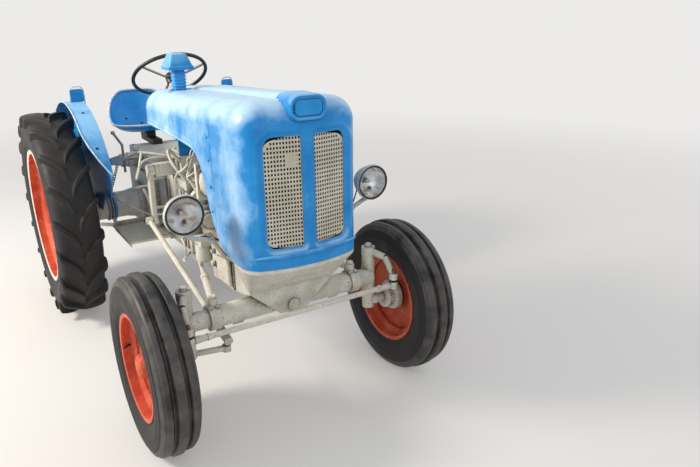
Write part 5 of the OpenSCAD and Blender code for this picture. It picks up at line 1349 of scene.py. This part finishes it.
class TRACTOR_OT_fenders(bpy.types.Operator):
    """Make the rolled edges and bolts of the fenders"""

    bl_idname = "tractor.fenders"
    bl_label = "Fenders"

    def execute(self, context):
        build_fenders()
        return {"FINISHED"}


class TRACTOR_OT_seat(bpy.types.Operator):
    """Make the pressed seat pan"""

    bl_idname = "tractor.seat"
    bl_label = "Seat"

    def execute(self, context):
        build_seat()
        return {"FINISHED"}


class TRACTOR_OT_steering_wheel(bpy.types.Operator):
    """Make the steering wheel"""

    bl_idname = "tractor.steering_wheel"
    bl_label = "Steering wheel"

    def execute(self, context):
        build_steering_wheel(context.scene.tractor_sizes)
        return {"FINISHED"}


class TRACTOR_OT_engine(bpy.types.Operator):
    """Make the pipes, rods, chain and bolts of the engine and gearbox"""

    bl_idname = "tractor.engine"
    bl_label = "Engine fittings"

    def execute(self, context):
        build_engine()
        return {"FINISHED"}


class TRACTOR_OT_axle(bpy.types.Operator):
    """Make the fittings of the front axle and steering"""

    bl_idname = "tractor.axle"
    bl_label = "Front axle fittings"

    def execute(self, context):
        build_axle()
        return {"FINISHED"}


class TRACTOR_OT_stage(bpy.types.Operator):
    """Make the floor, lamps, world and camera"""

    bl_idname = "tractor.stage"
    bl_label = "Stage"

    def execute(self, context):
        build_stage()
        return {"FINISHED"}


OPERATORS = (TRACTOR_OT_finishes, TRACTOR_OT_hood, TRACTOR_OT_air_intake, TRACTOR_OT_headlamps,
             TRACTOR_OT_front_tyres, TRACTOR_OT_rear_tyres, TRACTOR_OT_wheels, TRACTOR_OT_fenders, TRACTOR_OT_seat,
             TRACTOR_OT_steering_wheel, TRACTOR_OT_engine, TRACTOR_OT_axle, TRACTOR_OT_stage)


class TRACTOR_PT_panel(bpy.types.Panel):
    """Sizes, paints and pieces of the tractor"""

    bl_idname = "TRACTOR_PT_panel"
    bl_label = "Vintage farm tractor"
    bl_space_type = "VIEW_3D"
    bl_region_type = "UI"
    bl_category = "Tractor"

    def draw(self, context):
        for group in (context.scene.tractor_sizes, context.scene.tractor_colours):
            for name in group.bl_rna.properties.keys():
                if name not in ("rna_type", "name"):
                    self.layout.prop(group, name)
        for operator in OPERATORS:
            self.layout.operator(operator.bl_idname)


CLASSES = (TractorSizes, TractorColours, *OPERATORS, TRACTOR_PT_panel)


def register():
    """Makes the classes and the settings known."""
    for cls in CLASSES:
        bpy.utils.register_class(cls)
    bpy.types.Scene.tractor_sizes = bpy.props.PointerProperty(type=TractorSizes)
    bpy.types.Scene.tractor_colours = bpy.props.PointerProperty(type=TractorColours)


def unregister():
    """Takes the settings and the classes away again."""
    del bpy.types.Scene.tractor_colours
    del bpy.types.Scene.tractor_sizes
    for cls in reversed(CLASSES):
        bpy.utils.unregister_class(cls)


def main():
    """Registers the add-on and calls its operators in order."""
    register()
    for operator in OPERATORS:
        group, name = operator.bl_idname.split(".")
        getattr(getattr(bpy.ops, group), name)()


if __name__ == "__main__":
    main()
